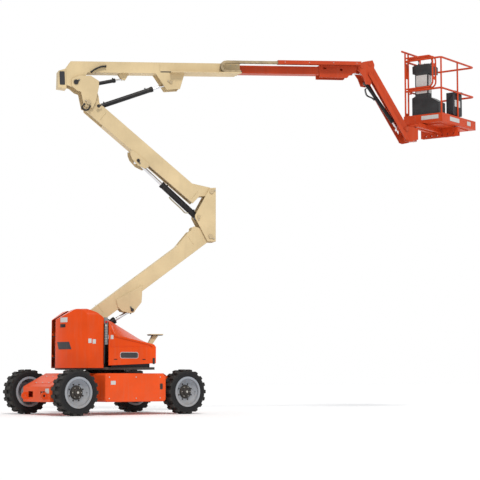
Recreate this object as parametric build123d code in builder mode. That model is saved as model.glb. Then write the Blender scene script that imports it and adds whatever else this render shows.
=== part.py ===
from build123d import *
import math
import os

os.makedirs("parts", exist_ok=True)

# All sizes in millimetres. +X runs along the booms, +Z is up, the floor is z = 0
# and the slew axis is the Z axis. The near side is -Y.

# ---- fits between pieces ----
RUN_FIT = 0.5
SEAT = 0.3

PASS_GAP = 7.0

# ---- chassis, in its own axes: a along it, b across it, turned about the slew axis ----
CHASSIS_TURN = 21.0
WHEELBASE = 2010.0
TRACK = 1510.0
TYRE_R = 354.0
TYRE_W = 240.0
BEAD_R = 218.0
HUB_R = 105.0
HUB_BORE_R = 46.0
SPINDLE_R = 45.5
CHASSIS_TOP = 645.0
CHASSIS_FLOOR = 205.0
NOSE_A = 1240.0
TAIL_A = NOSE_A - 60
NOSE_TOP = 440.0
SLOPE_A = 840.0
FRAME_HALF_W = 420.0
FRAME_WALL = 12.0
PANEL_HALF_W = 850.0
PANEL_A0 = -(WHEELBASE / 2 - TYRE_R - 131)
PANEL_A1 = WHEELBASE / 2 - TYRE_R - 51
KINGPIN_B = 585.0
KINGPIN_R = 30.0
LUG_HOLE_R = 22.0
LUG_R = 55.0
LUG_T = 25.0

# ---- turntable ----
RING_R = 330.0
RING_Z0 = CHASSIS_TOP
RING_Z1 = 690.0
DECK_Z0 = 700.0
DECK_Z1 = 740.0
HOOD_Z0 = 726.0
HOOD_TOP = 1645.0
TAIL_R = 858.0
DECK_R = TAIL_R - 60
HOOD_Y = 750.0
CHANNEL_Y = 200.0
HOOD_SPLIT_X = -160.0
FRONT_X0 = HOOD_SPLIT_X + 70
FRONT_X = 660.0
BAND_TOP = 1050.0
SKIN = 8.0
SIDE_IN = 140.0
SIDE_OUT = 160.0
HINGE_PIN_R = 8.0
TAIL_HINGE = (-808.0, 228.0)
FRONT_HINGE = (FRONT_X - 20, 226.0)
TAIL_HINGE_Z = (900.0, 1240.0)
FRONT_HINGE_Z = (850.0, 1000.0)
REST_TOP = 1274.0

# ---- tower: pins of the lower boom, lower upright, mid boom and upper upright (x, z) ----
P0 = (-343.0, 1499.0)
P1 = (1708.0, 2871.0)
P2 = (1721.0, 3608.0)
P3 = (-330.0, 4980.0)
PM = (-539.0, 5303.0)
LOWER_DEG = 36.95
MID_DEG = -39.0
TUBE_H = 246.0
TUBE_W = 200.0
TUBE_WALL = 10.0
AXIS_L = -61.0
LOWER_LUG = (412.0, 1657.0)
LOWER_BASE = (-520.0, 1088.0)
MID_BASE = (1505.0, 3192.0)
MID_LUG = (495.0, 4078.0)
PIN_R = 28.0
PLATE_IN = 112.0
PLATE_OUT = 132.0
LANE_BIG = 55.0
BARREL_SLOT = 62.0
BOSS_R = 42.0

# ---- main boom, telescope, jib ----
BOOM_DEG = 2.5
MAIN_H = 180.0
MAIN_W = 230.0
MAIN_WALL = 8.0
MAIN_UNDER = 165.0
MAIN_MID = MAIN_UNDER + MAIN_H / 2
MAIN_END = 2760.0
ROOT_IN = 130.0
ROOT_OUT = 150.0
MAIN_BASE = (-170.0, 4930.0)
MAIN_LUG = (1032.0, 5392.0)
MASTER_BASE = (-260.0, 5300.0)
MASTER_LUG = (262.0, 5425.0)
LANE_MAIN = 38.0
LANE_SMALL = 27.0
FLY_H = 132.0
FLY_W = 180.0
FLY_WALL = 7.0
FLY_TAIL = 1500.0
FLY_END = 4180.0
KNUCKLE = (4360.0, 5832.0)
JIB_TOP = (4507.0, 5885.0)
JIB_END = (5176.0, 4791.0)
LINK_DROP = (-8.0, -160.0)
JIB_BASE_EYE = (4477.0, 5585.0)
JIB_ROD_EYE = (5055.0, 4813.0)
SLAVE_BASE = (3800.0, 5742.0)
SLAVE_LUG = (4412.0, 5737.0)
SLAVE_BOSS_R = 20.0
JIB_BOSS_R = 32.0
TOP_LEAN = 72.0
ROTATOR_X = 5320.0
ROTATOR_R = 85.0

# ---- cable carrier, in the main boom's axes ----
CARRIER_LOOP = (2500.0, 275.0)
CARRIER_R = 80.0
CARRIER_LOW_END = 2740.0
CARRIER_TOP_END = 3680.0
LINK_PITCH = 50.0
LINK_H = 42.0
CARRIER_Y0 = 152.0
CARRIER_Y1 = 220.0
TRAY_X0 = 3400.0
TRAY_X1 = 4880.0
TRAY_T = 5.0

# ---- platform, in its own axes: p from the boom side outwards, q across ----
PLATFORM_TURN = 37.3
PLATFORM_P0 = 276.0
PLATFORM_P1 = 1496.0
PLATFORM_Q0 = -442.0
PLATFORM_Q1 = 318.0
FLOOR_Z = 4961.0
FLOOR_T = 30.0
TOE_TOP = FLOOR_Z + 157
MID_RAIL = FLOOR_Z + 595
TOP_RAIL = FLOOR_Z + 1149
GUARD_RAIL = TOP_RAIL + 145
RAIL_R = 17.0
POST_R = 15.0
RAIL_IN = 24.0


def side(x, z, deg=0.0, y=0.0):
    """Upright plane along the booms: local x along deg, local y up, normal to the near side."""
    a = math.radians(deg)
    return Plane(origin=(x, y, z), x_dir=(math.cos(a), 0, math.sin(a)), z_dir=(0, -1, 0))


def turned(x, y, z, deg):
    """Level plane at (x, y, z) with its x turned by deg about the vertical."""
    a = math.radians(deg)
    return Plane(origin=(x, y, z), x_dir=(math.cos(a), math.sin(a), 0), z_dir=(0, 0, 1))


def local(origin, deg, point):
    """A point (x, z) in the axes of a side plane."""
    a = math.radians(deg)
    dx, dz = point[0] - origin[0], point[1] - origin[1]
    return (dx * math.cos(a) + dz * math.sin(a), -dx * math.sin(a) + dz * math.cos(a))


def swung(point, pivot, deg):
    """A point (x, z) turned by deg about a pivot, towards the upright."""
    a = math.radians(deg)
    dx, dz = point[0] - pivot[0], point[1] - pivot[1]
    return (pivot[0] + dx * math.cos(a) - dz * math.sin(a), pivot[1] + dx * math.sin(a) + dz * math.cos(a))


def reach(a, b):
    """Length and angle in degrees from pin a to pin b."""
    return math.hypot(b[0] - a[0], b[1] - a[1]), math.degrees(math.atan2(b[1] - a[1], b[0] - a[0]))


def cross_pin(point, radius, half):
    """Round bar across the booms through a pin point."""
    with BuildSketch(side(*point)) as disc:
        Circle(radius)
    extrude(disc.sketch, amount=half, both=True)


def cross_bore(point, radius, half):
    """Round bore across the booms through a pin point."""
    with BuildSketch(side(*point)) as disc:
        Circle(radius)
    extrude(disc.sketch, amount=half, both=True, mode=Mode.SUBTRACT)


def bosses(point, radius, y_in, y_out):
    """A round boss on each side at a pin point, from y_in to y_out off the middle."""
    for y0 in (y_in, -y_out):
        with BuildSketch(side(*point).offset(y0)) as disc:
            Circle(radius)
        extrude(disc.sketch, amount=y_out - y_in)


def cheeks(plane, points, y_in, y_out):
    """A pair of like side plates of one outline, from y_in to y_out on both sides."""
    for y0 in (y_in, -y_out):
        with BuildSketch(plane.offset(y0)) as plate:
            with BuildLine():
                Polyline(*points, close=True)
            make_face()
        extrude(plate.sketch, amount=y_out - y_in)


def prism(plane, points, half, mode=Mode.ADD):
    """A plate or an opening of one outline, half to each side of the plane."""
    with BuildSketch(plane) as face:
        with BuildLine():
            Polyline(*points, close=True)
        make_face()
    extrude(face.sketch, amount=half, both=True, mode=mode)


def pipe(points, radius, bend):
    """Round tube bent once at each inner point."""
    with BuildLine() as route:
        if len(points) > 2:
            FilletPolyline(*points, radius=bend)
        else:
            Line(*points)
    with BuildSketch(Plane(origin=route.line @ 0, z_dir=route.line % 0)) as mouth:
        Circle(radius)
    sweep(mouth.sketch, path=route.line)


def save(piece, name):
    piece.part.label = name
    export_step(piece.part, "parts/" + name + ".step")


CH = turned(0, 0, 0, CHASSIS_TURN)
CH_SIDE = Plane(origin=(0, 0, 0), x_dir=CH.x_dir, z_dir=-CH.y_dir)

# ================= chassis =================
NOSE_WINDOW = (150.0, 90.0)
NOSE_WINDOW_B = 190.0
NOSE_WINDOW_Z = 322.0
ROD_A = -WHEELBASE / 2 + 150
ROD_WINDOW = (140.0, 120.0)
ROD_WINDOW_Z = 340.0
BELLY_CUT = (900.0, 560.0)
TIE_DOWN_Z = 300.0

with BuildPart(CH) as chassis_frame:
    for wall, half_w, mode in (
        (0.0, FRAME_HALF_W, Mode.ADD),
        (FRAME_WALL, FRAME_HALF_W - FRAME_WALL, Mode.SUBTRACT),
    ):
        with BuildSketch(CH_SIDE):
            with BuildLine():
                Polyline(
                    (-NOSE_A + wall, CHASSIS_FLOOR + wall),
                    (-NOSE_A + wall, NOSE_TOP - wall / 2),
                    (-SLOPE_A, CHASSIS_TOP - wall),
                    (SLOPE_A, CHASSIS_TOP - wall),
                    (TAIL_A - wall, NOSE_TOP - wall / 2),
                    (TAIL_A - wall, CHASSIS_FLOOR + wall),
                    close=True,
                )
            make_face()
        extrude(amount=half_w, both=True, mode=mode)
    with Locations((0, 0, CHASSIS_FLOOR)):
        Box(BELLY_CUT[0], BELLY_CUT[1], 4 * FRAME_WALL, mode=Mode.SUBTRACT)
    with Locations((ROD_A, 0, ROD_WINDOW_Z)):
        Box(ROD_WINDOW[0], 3 * FRAME_HALF_W, ROD_WINDOW[1], mode=Mode.SUBTRACT)
    for b in (-NOSE_WINDOW_B, NOSE_WINDOW_B):
        with Locations((-NOSE_A, b, NOSE_WINDOW_Z)):
            Box(6 * FRAME_WALL, NOSE_WINDOW[0], NOSE_WINDOW[1], mode=Mode.SUBTRACT)
    for end in (-1, 1):
        nose = NOSE_A if end < 0 else TAIL_A
        for b in (-300, 300):
            with BuildSketch(CH_SIDE.offset(-b - LUG_T / 2)):
                with Locations((end * (nose + 20), TIE_DOWN_Z)):
                    SlotOverall(2 * LUG_R + 40, 2 * LUG_R)
                with Locations((end * (nose + 35), TIE_DOWN_Z)):
                    Circle(LUG_HOLE_R, mode=Mode.SUBTRACT)
                with Locations((end * (nose - 60), TIE_DOWN_Z)):
                    Rectangle(120, 4 * LUG_R, mode=Mode.SUBTRACT)
            extrude(amount=LUG_T)
save(chassis_frame, "chassis_frame")

PANEL_CORNER = 30.0
with BuildPart(CH) as side_boxes:
    for b0 in (FRAME_HALF_W, -PANEL_HALF_W):
        with BuildSketch(CH_SIDE.offset(b0)):
            with BuildLine():
                Polyline(
                    (PANEL_A0, CHASSIS_FLOOR + PANEL_CORNER),
                    (PANEL_A0 + PANEL_CORNER, CHASSIS_FLOOR),
                    (PANEL_A1 - PANEL_CORNER, CHASSIS_FLOOR),
                    (PANEL_A1, CHASSIS_FLOOR + PANEL_CORNER),
                    (PANEL_A1, CHASSIS_TOP - 2 * PANEL_CORNER),
                    (PANEL_A1 - 2 * PANEL_CORNER, CHASSIS_TOP),
                    (PANEL_A0 + PANEL_CORNER, CHASSIS_TOP),
                    (PANEL_A0, CHASSIS_TOP - PANEL_CORNER),
                    close=True,
                )
            make_face()
        extrude(amount=PANEL_HALF_W - FRAME_HALF_W)
    across = Axis((0, 0, 0), tuple(CH.y_dir))
    outer_faces = side_boxes.faces().sort_by(across)
    chamfer(outer_faces[0].edges() + outer_faces[-1].edges(), 10)
save(side_boxes, "side_boxes")

STUB_END = KINGPIN_B - 85
FORK_GAP = 47.5
FORK_T = 25.0
with BuildPart(CH) as steer_axle:
    for s in (-1, 1):
        with Locations((-WHEELBASE / 2, s * (FRAME_HALF_W + STUB_END) / 2, TYRE_R)):
            Box(110, STUB_END - FRAME_HALF_W, 2 * FORK_GAP + FORK_T)
        for z in (-FORK_GAP - FORK_T / 2, FORK_GAP + FORK_T / 2):
            with Locations((-WHEELBASE / 2, s * (KINGPIN_B - 50), TYRE_R + z)):
                Box(100, 110, FORK_T)
            with Locations((-WHEELBASE / 2, s * KINGPIN_B, TYRE_R + z)):
                Cylinder(50, FORK_T)
        with Locations((-WHEELBASE / 2, s * KINGPIN_B, TYRE_R)):
            Cylinder(KINGPIN_R, 2 * FORK_GAP + 2 * FORK_T)
save(steer_axle, "steer_axle")

HOUSING_R = 95.0
HOUSING_END = TRACK / 2 - 60
with BuildPart(CH) as drive_axle:
    for s in (-1, 1):
        for b0, b1, radius in (
            (FRAME_HALF_W, FRAME_HALF_W + 50, HOUSING_R + 30),
            (FRAME_HALF_W, HOUSING_END, HOUSING_R),
            (HOUSING_END, HOUSING_END + 100, SPINDLE_R),
        ):
            with BuildSketch(CH_SIDE.offset(s * b0)):
                with Locations((WHEELBASE / 2, TYRE_R)):
                    Circle(radius)
            extrude(amount=s * (b1 - b0))
save(drive_axle, "drive_axle")

ARM_T = 24.0
ARM_W = 44.0
KNUCKLE_H = 90.0
for name, s in (("near", 1), ("far", -1)):
    with BuildPart(CH) as knuckle:
        with Locations((-WHEELBASE / 2, -s * KINGPIN_B, TYRE_R)):
            Cylinder(48, KNUCKLE_H)
            Cylinder(KINGPIN_R + RUN_FIT, KNUCKLE_H, mode=Mode.SUBTRACT)
        for b0, b1, radius in ((46, 86, 42.0), (86, 210, SPINDLE_R)):
            with BuildSketch(CH_SIDE.offset(s * (KINGPIN_B + b0))):
                with Locations((-WHEELBASE / 2, TYRE_R)):
                    Circle(radius)
            extrude(amount=s * (b1 - b0))
        with BuildSketch(CH.offset(TYRE_R - ARM_T / 2)):
            with Locations(((-WHEELBASE / 2 + 45 + ROD_A + 22) / 2, -s * (KINGPIN_B - 10))):
                SlotOverall(ROD_A + 22 - (-WHEELBASE / 2 + 45), ARM_W)
            with Locations((-WHEELBASE / 2 + 55, -s * (KINGPIN_B - 10))):
                Rectangle(30, ARM_W)
        extrude(amount=ARM_T)
    save(knuckle, "steer_knuckle_" + name)

ROD_R = 14.0
ROD_CUP_R = 22.0
ROD_CUP_H = 44.0
ROD_CUP_TOP = TYRE_R - ARM_T / 2 - SEAT
with BuildPart(CH) as tie_rod:
    rod_z = ROD_CUP_TOP - ROD_CUP_H / 2
    with BuildSketch(CH_SIDE):
        with Locations((ROD_A, rod_z)):
            Circle(ROD_R)
    extrude(amount=KINGPIN_B - 10, both=True)
    for s in (-1, 1):
        with Locations((ROD_A, s * (KINGPIN_B - 10), rod_z)):
            Cylinder(ROD_CUP_R, ROD_CUP_H)
save(tie_rod, "tie_rod")

WHEELS = (
    # name, a, side of the chassis (+1 near)
    ("steer_near", -WHEELBASE / 2, 1),
    ("steer_far", -WHEELBASE / 2, -1),
    ("drive_near", WHEELBASE / 2, 1),
    ("drive_far", WHEELBASE / 2, -1),
)
DISC_Y = 36.0
DISH_R = 150.0
BARREL_R = 205.0
FLANGE_R = 240.0
TREAD_R = TYRE_R - 26
LUG_COUNT = 18
LUG_LANES = (
    # start and end across the tyre, share of a pitch it is turned by
    (-TYRE_W / 2 + 8, -4.0, 0.0),
    (4.0, TYRE_W / 2 - 8, 0.5),
)
LUG_OUTLINE = (
    # radius, angle off the lug's middle in degrees
    (TREAD_R - 4, -5.6),
    (TYRE_R, -4.2),
    (TYRE_R, 0.0),
    (TYRE_R, 4.2),
    (TREAD_R - 4, 5.6),
)
for name, a, s in WHEELS:
    hub = tuple(CH.from_local_coords((a, -s * TRACK / 2, TYRE_R)))
    outward = -s * CH.y_dir
    spin = Axis(hub, outward)
    # half section of the wheel: local x out from the axle, local y along it to the outside
    section = Plane(origin=hub, x_dir=CH.x_dir, z_dir=CH.x_dir.cross(outward))
    with BuildPart() as rim:
        with BuildSketch(section):
            with BuildLine():
                Polyline(
                    (HUB_BORE_R, -30),
                    (HUB_R, -30),
                    (HUB_R, DISC_Y - 14),
                    (DISH_R - 4, DISC_Y - 14),
                    (BARREL_R - 15, DISC_Y + 30),
                    (BARREL_R, DISC_Y + 30),
                    (BARREL_R, -118),
                    (FLANGE_R, -118),
                    (FLANGE_R, -106),
                    (BEAD_R, -100),
                    (BEAD_R, 100),
                    (FLANGE_R, 106),
                    (FLANGE_R, 118),
                    (BARREL_R, 118),
                    (BARREL_R, DISC_Y + 46),
                    (BARREL_R - 9, DISC_Y + 44),
                    (DISH_R, DISC_Y),
                    (HUB_R, DISC_Y),
                    (HUB_R - 12, 60),
                    (HUB_BORE_R, 60),
                    close=True,
                )
            make_face()
        revolve(axis=spin)
    save(rim, "rim_" + name)
    with BuildPart() as tyre:
        with BuildSketch(section):
            with BuildLine():
                Polyline(
                    (BEAD_R, -98),
                    (244, -104),
                    (252, -118),
                    (300, -TYRE_W / 2),
                    (TREAD_R, -TYRE_W / 2 + 10),
                    (TREAD_R, TYRE_W / 2 - 10),
                    (300, TYRE_W / 2),
                    (252, 118),
                    (244, 104),
                    (BEAD_R, 98),
                    close=True,
                )
            make_face()
        revolve(axis=spin)
        wheel_plane = Plane(origin=hub, x_dir=CH.x_dir, z_dir=outward)
        for lane_y0, lane_y1, shift in LUG_LANES:
            with BuildSketch(wheel_plane.offset(lane_y0)) as lane:
                for k in range(LUG_COUNT):
                    turn = 90 + (k + shift) * 360 / LUG_COUNT
                    with BuildLine():
                        Polyline(
                            *[
                                (r * math.cos(math.radians(turn + d)), r * math.sin(math.radians(turn + d)))
                                for r, d in LUG_OUTLINE
                            ],
                            close=True,
                        )
                    make_face()
            extrude(amount=lane_y1 - lane_y0)
    save(tyre, "tyre_" + name)

with BuildPart() as slew_ring:
    with BuildSketch(Plane.XY.offset(RING_Z0)):
        Circle(RING_R)
        Circle(RING_R - 90, mode=Mode.SUBTRACT)
    extrude(amount=RING_Z1 - RING_Z0)
save(slew_ring, "slew_ring")

# ================= turntable =================
SIDE_X0 = -700.0
SIDE_X1 = 620.0
FLANGE = 45.0
DECK_HALF_W = HOOD_Y - FLANGE - 5
HINGE_LUG_T = 14.0
KNUCKLE_LUG_H = 40.0
BULKHEAD_X = HOOD_SPLIT_X + 25
BULKHEAD_T = 10.0
BULKHEAD_Y = 580.0
BULKHEAD_TOP = 1340.0


def hinge_lugs(hinge, heights, root_x, root_w):
    """Flat lugs from the side plates to a hood's hinge line, each with an upright pin."""
    for s in (-1, 1):
        for z in heights:
            with BuildSketch(Plane.XY.offset(z - HINGE_LUG_T)) as lug:
                with BuildLine():
                    Polyline(
                        (root_x - root_w / 2, s * SIDE_IN),
                        (root_x + root_w / 2, s * SIDE_IN),
                        (root_x + root_w / 2, s * (SIDE_OUT + 6)),
                        (hinge[0] + 7, s * (hinge[1] + 7)),
                        (hinge[0] - 7, s * (hinge[1] - 7)),
                        (root_x - root_w / 2, s * SIDE_OUT),
                        close=True,
                    )
                make_face()
                with Locations((hinge[0], s * hinge[1])):
                    Circle(10)
            extrude(lug.sketch, amount=HINGE_LUG_T)
            with BuildSketch(Plane.XY.offset(z)) as pin:
                with Locations((hinge[0], s * hinge[1])):
                    Circle(HINGE_PIN_R)
            extrude(pin.sketch, amount=KNUCKLE_LUG_H - 6)


with BuildPart() as turntable_frame:
    with BuildSketch(Plane.XY.offset(RING_Z1 + RUN_FIT)):
        Circle(RING_R - 20)
    extrude(amount=DECK_Z0 - RING_Z1 - RUN_FIT)
    with BuildSketch(Plane.XY.offset(DECK_Z0)):
        Circle(DECK_R)
        Rectangle(2 * TAIL_R, 2 * DECK_HALF_W, mode=Mode.INTERSECT)
        with Locations((TAIL_R - 150, 0)):
            Rectangle(2 * TAIL_R, 2 * TAIL_R, mode=Mode.SUBTRACT)
        with Locations(((FRONT_X - 10 - 310) / 2, 0)):
            Rectangle(FRONT_X - 10 + 310, 2 * DECK_HALF_W)
    extrude(amount=DECK_Z1 - DECK_Z0)
    cheeks(
        side(0, 0),
        [
            (SIDE_X0, DECK_Z1),
            (SIDE_X0, 1330),
            (-430, 1560),
            (-280, 1570),
            (-180, 1420),
            (100, 1150),
            (SIDE_X1, 1040),
            (SIDE_X1, DECK_Z1),
        ],
        SIDE_IN,
        SIDE_OUT,
    )
    bosses(P0, 52, TUBE_W / 2 + SEAT, SIDE_IN)
    bosses(LOWER_BASE, 46, LANE_BIG + SEAT, SIDE_IN)
    cross_pin(P0, PIN_R, SIDE_OUT)
    cross_pin(LOWER_BASE, PIN_R, SIDE_OUT)
    for s in (-1, 1):
        with Locations((BULKHEAD_X + BULKHEAD_T / 2, s * (SIDE_OUT + BULKHEAD_Y) / 2, (DECK_Z1 + BULKHEAD_TOP) / 2)):
            Box(BULKHEAD_T, BULKHEAD_Y - SIDE_OUT, BULKHEAD_TOP - DECK_Z1)
    hinge_lugs(TAIL_HINGE, TAIL_HINGE_Z, SIDE_X0 + 20, 40)
    hinge_lugs(FRONT_HINGE, FRONT_HINGE_Z, SIDE_X1 - 20, 40)
save(turntable_frame, "turntable_frame")

COUNTER_TOP = 1170.0
COUNTER_DEPTH = 298.0
COUNTER_FRONT = -(DECK_R - COUNTER_DEPTH)
with BuildPart() as counterweight:
    with BuildSketch(Plane.XY.offset(DECK_Z1)):
        Circle(DECK_R)
        Rectangle(2 * TAIL_R, 2 * (HOOD_Y - 45), mode=Mode.INTERSECT)
        with Locations((COUNTER_FRONT + TAIL_R, 0)):
            Rectangle(2 * TAIL_R, 2 * TAIL_R, mode=Mode.SUBTRACT)
        with Locations((SIDE_X0 - 5 + TAIL_R / 2, 0)):
            Rectangle(TAIL_R, 2 * (SIDE_OUT + 10), mode=Mode.SUBTRACT)
    extrude(amount=COUNTER_TOP - DECK_Z1)
    for s in (-1, 1):
        with Locations((-(DECK_R - 45), s * 208, TAIL_HINGE_Z[0])):
            Box(220, 125, 130, mode=Mode.SUBTRACT)
save(counterweight, "counterweight")

BATTERY = (600.0, 400.0, 260.0)
with BuildPart() as battery_packs:
    for s in (-1, 1):
        with Locations((275, s * 475, DECK_Z1 + BATTERY[2] / 2)):
            Box(*BATTERY)
save(battery_packs, "battery_packs")


def tail_hood_blank(inset):
    """The tall near hood's full form, drawn in by inset: round tail, flat side, domed top."""
    low = HOOD_Z0 if inset == 0 else HOOD_Z0 - 200
    with BuildPart() as blank:
        with BuildSketch(Plane.XY.offset(low)) as plan:
            Circle(TAIL_R - inset)
            with Locations((TAIL_R + HOOD_SPLIT_X - inset, 0)):
                Rectangle(2 * TAIL_R, 2 * TAIL_R, mode=Mode.SUBTRACT)
            with Locations((0, -(HOOD_Y - inset + TAIL_R))):
                Rectangle(2 * TAIL_R, 2 * TAIL_R, mode=Mode.SUBTRACT)
            with Locations((0, TAIL_R - CHANNEL_Y + 10 * inset)):
                Rectangle(2 * TAIL_R, 2 * TAIL_R, mode=Mode.SUBTRACT)
            corner = plan.vertices().sort_by_distance((HOOD_SPLIT_X, -HOOD_Y, 0)).first
            fillet(corner, 45 - inset)
        extrude(amount=HOOD_TOP + 100 - low)
        # the top seen from the side: low at the tail, domed over the middle
        with BuildSketch(side(0, 0)):
            with BuildLine():
                Polyline(
                    (-TAIL_R - 20, low - 20),
                    (-TAIL_R - 20, 1460 - inset),
                    (-700, 1570 - inset),
                    (-590, 1640 - inset),
                    (-420, HOOD_TOP - inset),
                    (-270, 1585 - inset),
                    (HOOD_SPLIT_X + 20, 1480 - inset),
                    (HOOD_SPLIT_X + 20, low - 20),
                    close=True,
                )
            make_face()
        extrude(amount=TAIL_R, both=True, mode=Mode.INTERSECT)
        # the top seen from the end: rounded down to the outer side
        with BuildSketch(Plane.YZ) as end_line:
            with Locations((-(HOOD_Y - inset) / 2, (low + HOOD_TOP - inset) / 2)):
                Rectangle(HOOD_Y - inset, HOOD_TOP - inset - low + 2)
            shoulder = end_line.vertices().sort_by_distance((-HOOD_Y, HOOD_TOP, 0)).first
            fillet(shoulder, 130 - inset)
        extrude(amount=2 * TAIL_R, both=True, mode=Mode.INTERSECT)
    return blank.part


FRONT_LOW = HOOD_Z0 + 40
FRONT_TOP_OUT = ((FRONT_X0, 1455), (10, 1240), (FRONT_X - 30, 1095), (FRONT_X, 1055))
FRONT_TOP_IN = ((FRONT_X0, 1530), (60, 1460), (FRONT_X - 30, 1120), (FRONT_X, 1080))
RECESS = 14.0


def front_hood_blank(inset, y_in, y_out):
    """The near front hood's full form between two sections across it, drawn in by inset."""
    low = FRONT_LOW if inset == 0 else FRONT_LOW - 200
    nose_low = 800 if inset == 0 else low
    with BuildPart() as blank:
        for y, top in ((y_out, FRONT_TOP_OUT), (y_in, FRONT_TOP_IN)):
            with BuildSketch(side(0, 0, 0, -y)):
                with BuildLine():
                    Polyline(
                        (top[0][0] + inset, low),
                        (top[0][0] + inset, top[0][1] - 2 * inset),
                        (top[1][0] + inset, top[1][1] - inset),
                        (top[2][0] - inset, top[2][1] - inset),
                        (top[3][0] - inset, top[3][1] - inset),
                        (top[3][0] - inset, nose_low),
                        close=True,
                    )
                make_face()
        loft(ruled=True)
    return blank.part


def hood_knuckles(hinge, heights):
    """Eyes on a near hood's wall, which sit over the hinge pins."""
    for z in heights:
        with BuildSketch(Plane.XY.offset(z + SEAT)) as eye:
            with Locations((hinge[0], -hinge[1])):
                Circle(HINGE_PIN_R + 6)
        extrude(eye.sketch, amount=KNUCKLE_LUG_H)
        with BuildSketch(Plane.XY.offset(z)) as bore:
            with Locations((hinge[0], -hinge[1])):
                Circle(HINGE_PIN_R + RUN_FIT)
        extrude(bore.sketch, amount=KNUCKLE_LUG_H - 4, mode=Mode.SUBTRACT)


# tall tail hood: straight side, then the tail's arc, open to the channel
with BuildPart() as tail_hood:
    add(tail_hood_blank(0))
    add(tail_hood_blank(SKIN), mode=Mode.SUBTRACT)
    with Locations((HOOD_SPLIT_X, -(HOOD_Y - FLANGE - TAIL_R / 2), (HOOD_TOP + HOOD_Z0) / 2 - 100)):
        Box(60, TAIL_R, HOOD_TOP - HOOD_Z0, mode=Mode.SUBTRACT)
    hood_knuckles(TAIL_HINGE, TAIL_HINGE_Z)

# low front hood: sloping top, open below, to the rear and to the channel
LOUVRE = (52.0, 14.0)
with BuildPart() as front_hood:
    add(front_hood_blank(0, CHANNEL_Y, HOOD_Y))
    add(front_hood_blank(SKIN, CHANNEL_Y - 20, HOOD_Y - SKIN - RECESS), mode=Mode.SUBTRACT)
    band_low = BAND_TOP - 40
    with Locations(((FRONT_X0 + FRONT_X) / 2, -(HOOD_Y - SKIN - 50), (band_low + FRONT_LOW) / 2 - 50)):
        Box(FRONT_X - FRONT_X0 - 2 * SKIN, 100, band_low - FRONT_LOW + 100, mode=Mode.SUBTRACT)
    with BuildSketch(side(0, 0, 0, -HOOD_Y)):
        with BuildLine():
            Polyline(
                (FRONT_X0 + 30, BAND_TOP),
                (FRONT_X0 + 30, 1330),
                (5, 1215),
                (FRONT_X - 95, 1085),
                (FRONT_X - 50, BAND_TOP),
                close=True,
            )
        make_face()
    extrude(amount=RECESS, both=True, mode=Mode.SUBTRACT)
    with Locations((FRONT_X0, -(HOOD_Y - FLANGE - TAIL_R / 2), 1000)):
        Box(40, TAIL_R, 1200, mode=Mode.SUBTRACT)
    for x in (20, FRONT_X - 190):
        with Locations((x, -HOOD_Y, 860)):
            Box(LOUVRE[0], 4 * SKIN, LOUVRE[1], mode=Mode.SUBTRACT)
    hood_knuckles(FRONT_HINGE, FRONT_HINGE_Z)
    for z in FRONT_HINGE_Z:
        with Locations((FRONT_X - 4, -(CHANNEL_Y + 4), z - HINGE_LUG_T / 2)):
            Box(60, 36, HINGE_LUG_T + 14, mode=Mode.SUBTRACT)

for hood, name in ((tail_hood, "tail_hood"), (front_hood, "front_hood")):
    save(hood, name + "_near")
    with BuildPart() as far_hood:
        mirror(hood.part, about=Plane.XZ)
    save(far_hood, name + "_far")

CONTROL_BOX = (56.0, 120.0, 420.0)
with BuildPart() as ground_controls:
    with Locations((BULKHEAD_X + BULKHEAD_T / 2 + 5, -BULKHEAD_Y - CONTROL_BOX[1] / 2, 1300)):
        Box(*CONTROL_BOX)
save(ground_controls, "ground_controls")

with BuildPart() as boom_rest:
    prism(
        side(0, 0),
        [
            (664, DECK_Z1 - 20),
            (700, DECK_Z1 - 20),
            (722, 1060),
            (862, REST_TOP - 12),
            (772, REST_TOP - 12),
            (690, 1110),
            (664, 900),
        ],
        60,
    )
    with Locations((657, 0, (DECK_Z0 + DECK_Z1) / 2)):
        Box(14, 240, DECK_Z1 - DECK_Z0)
    with Locations((816, 0, REST_TOP - 6)):
        Box(214, 240, 12)
save(boom_rest, "boom_rest")

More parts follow.
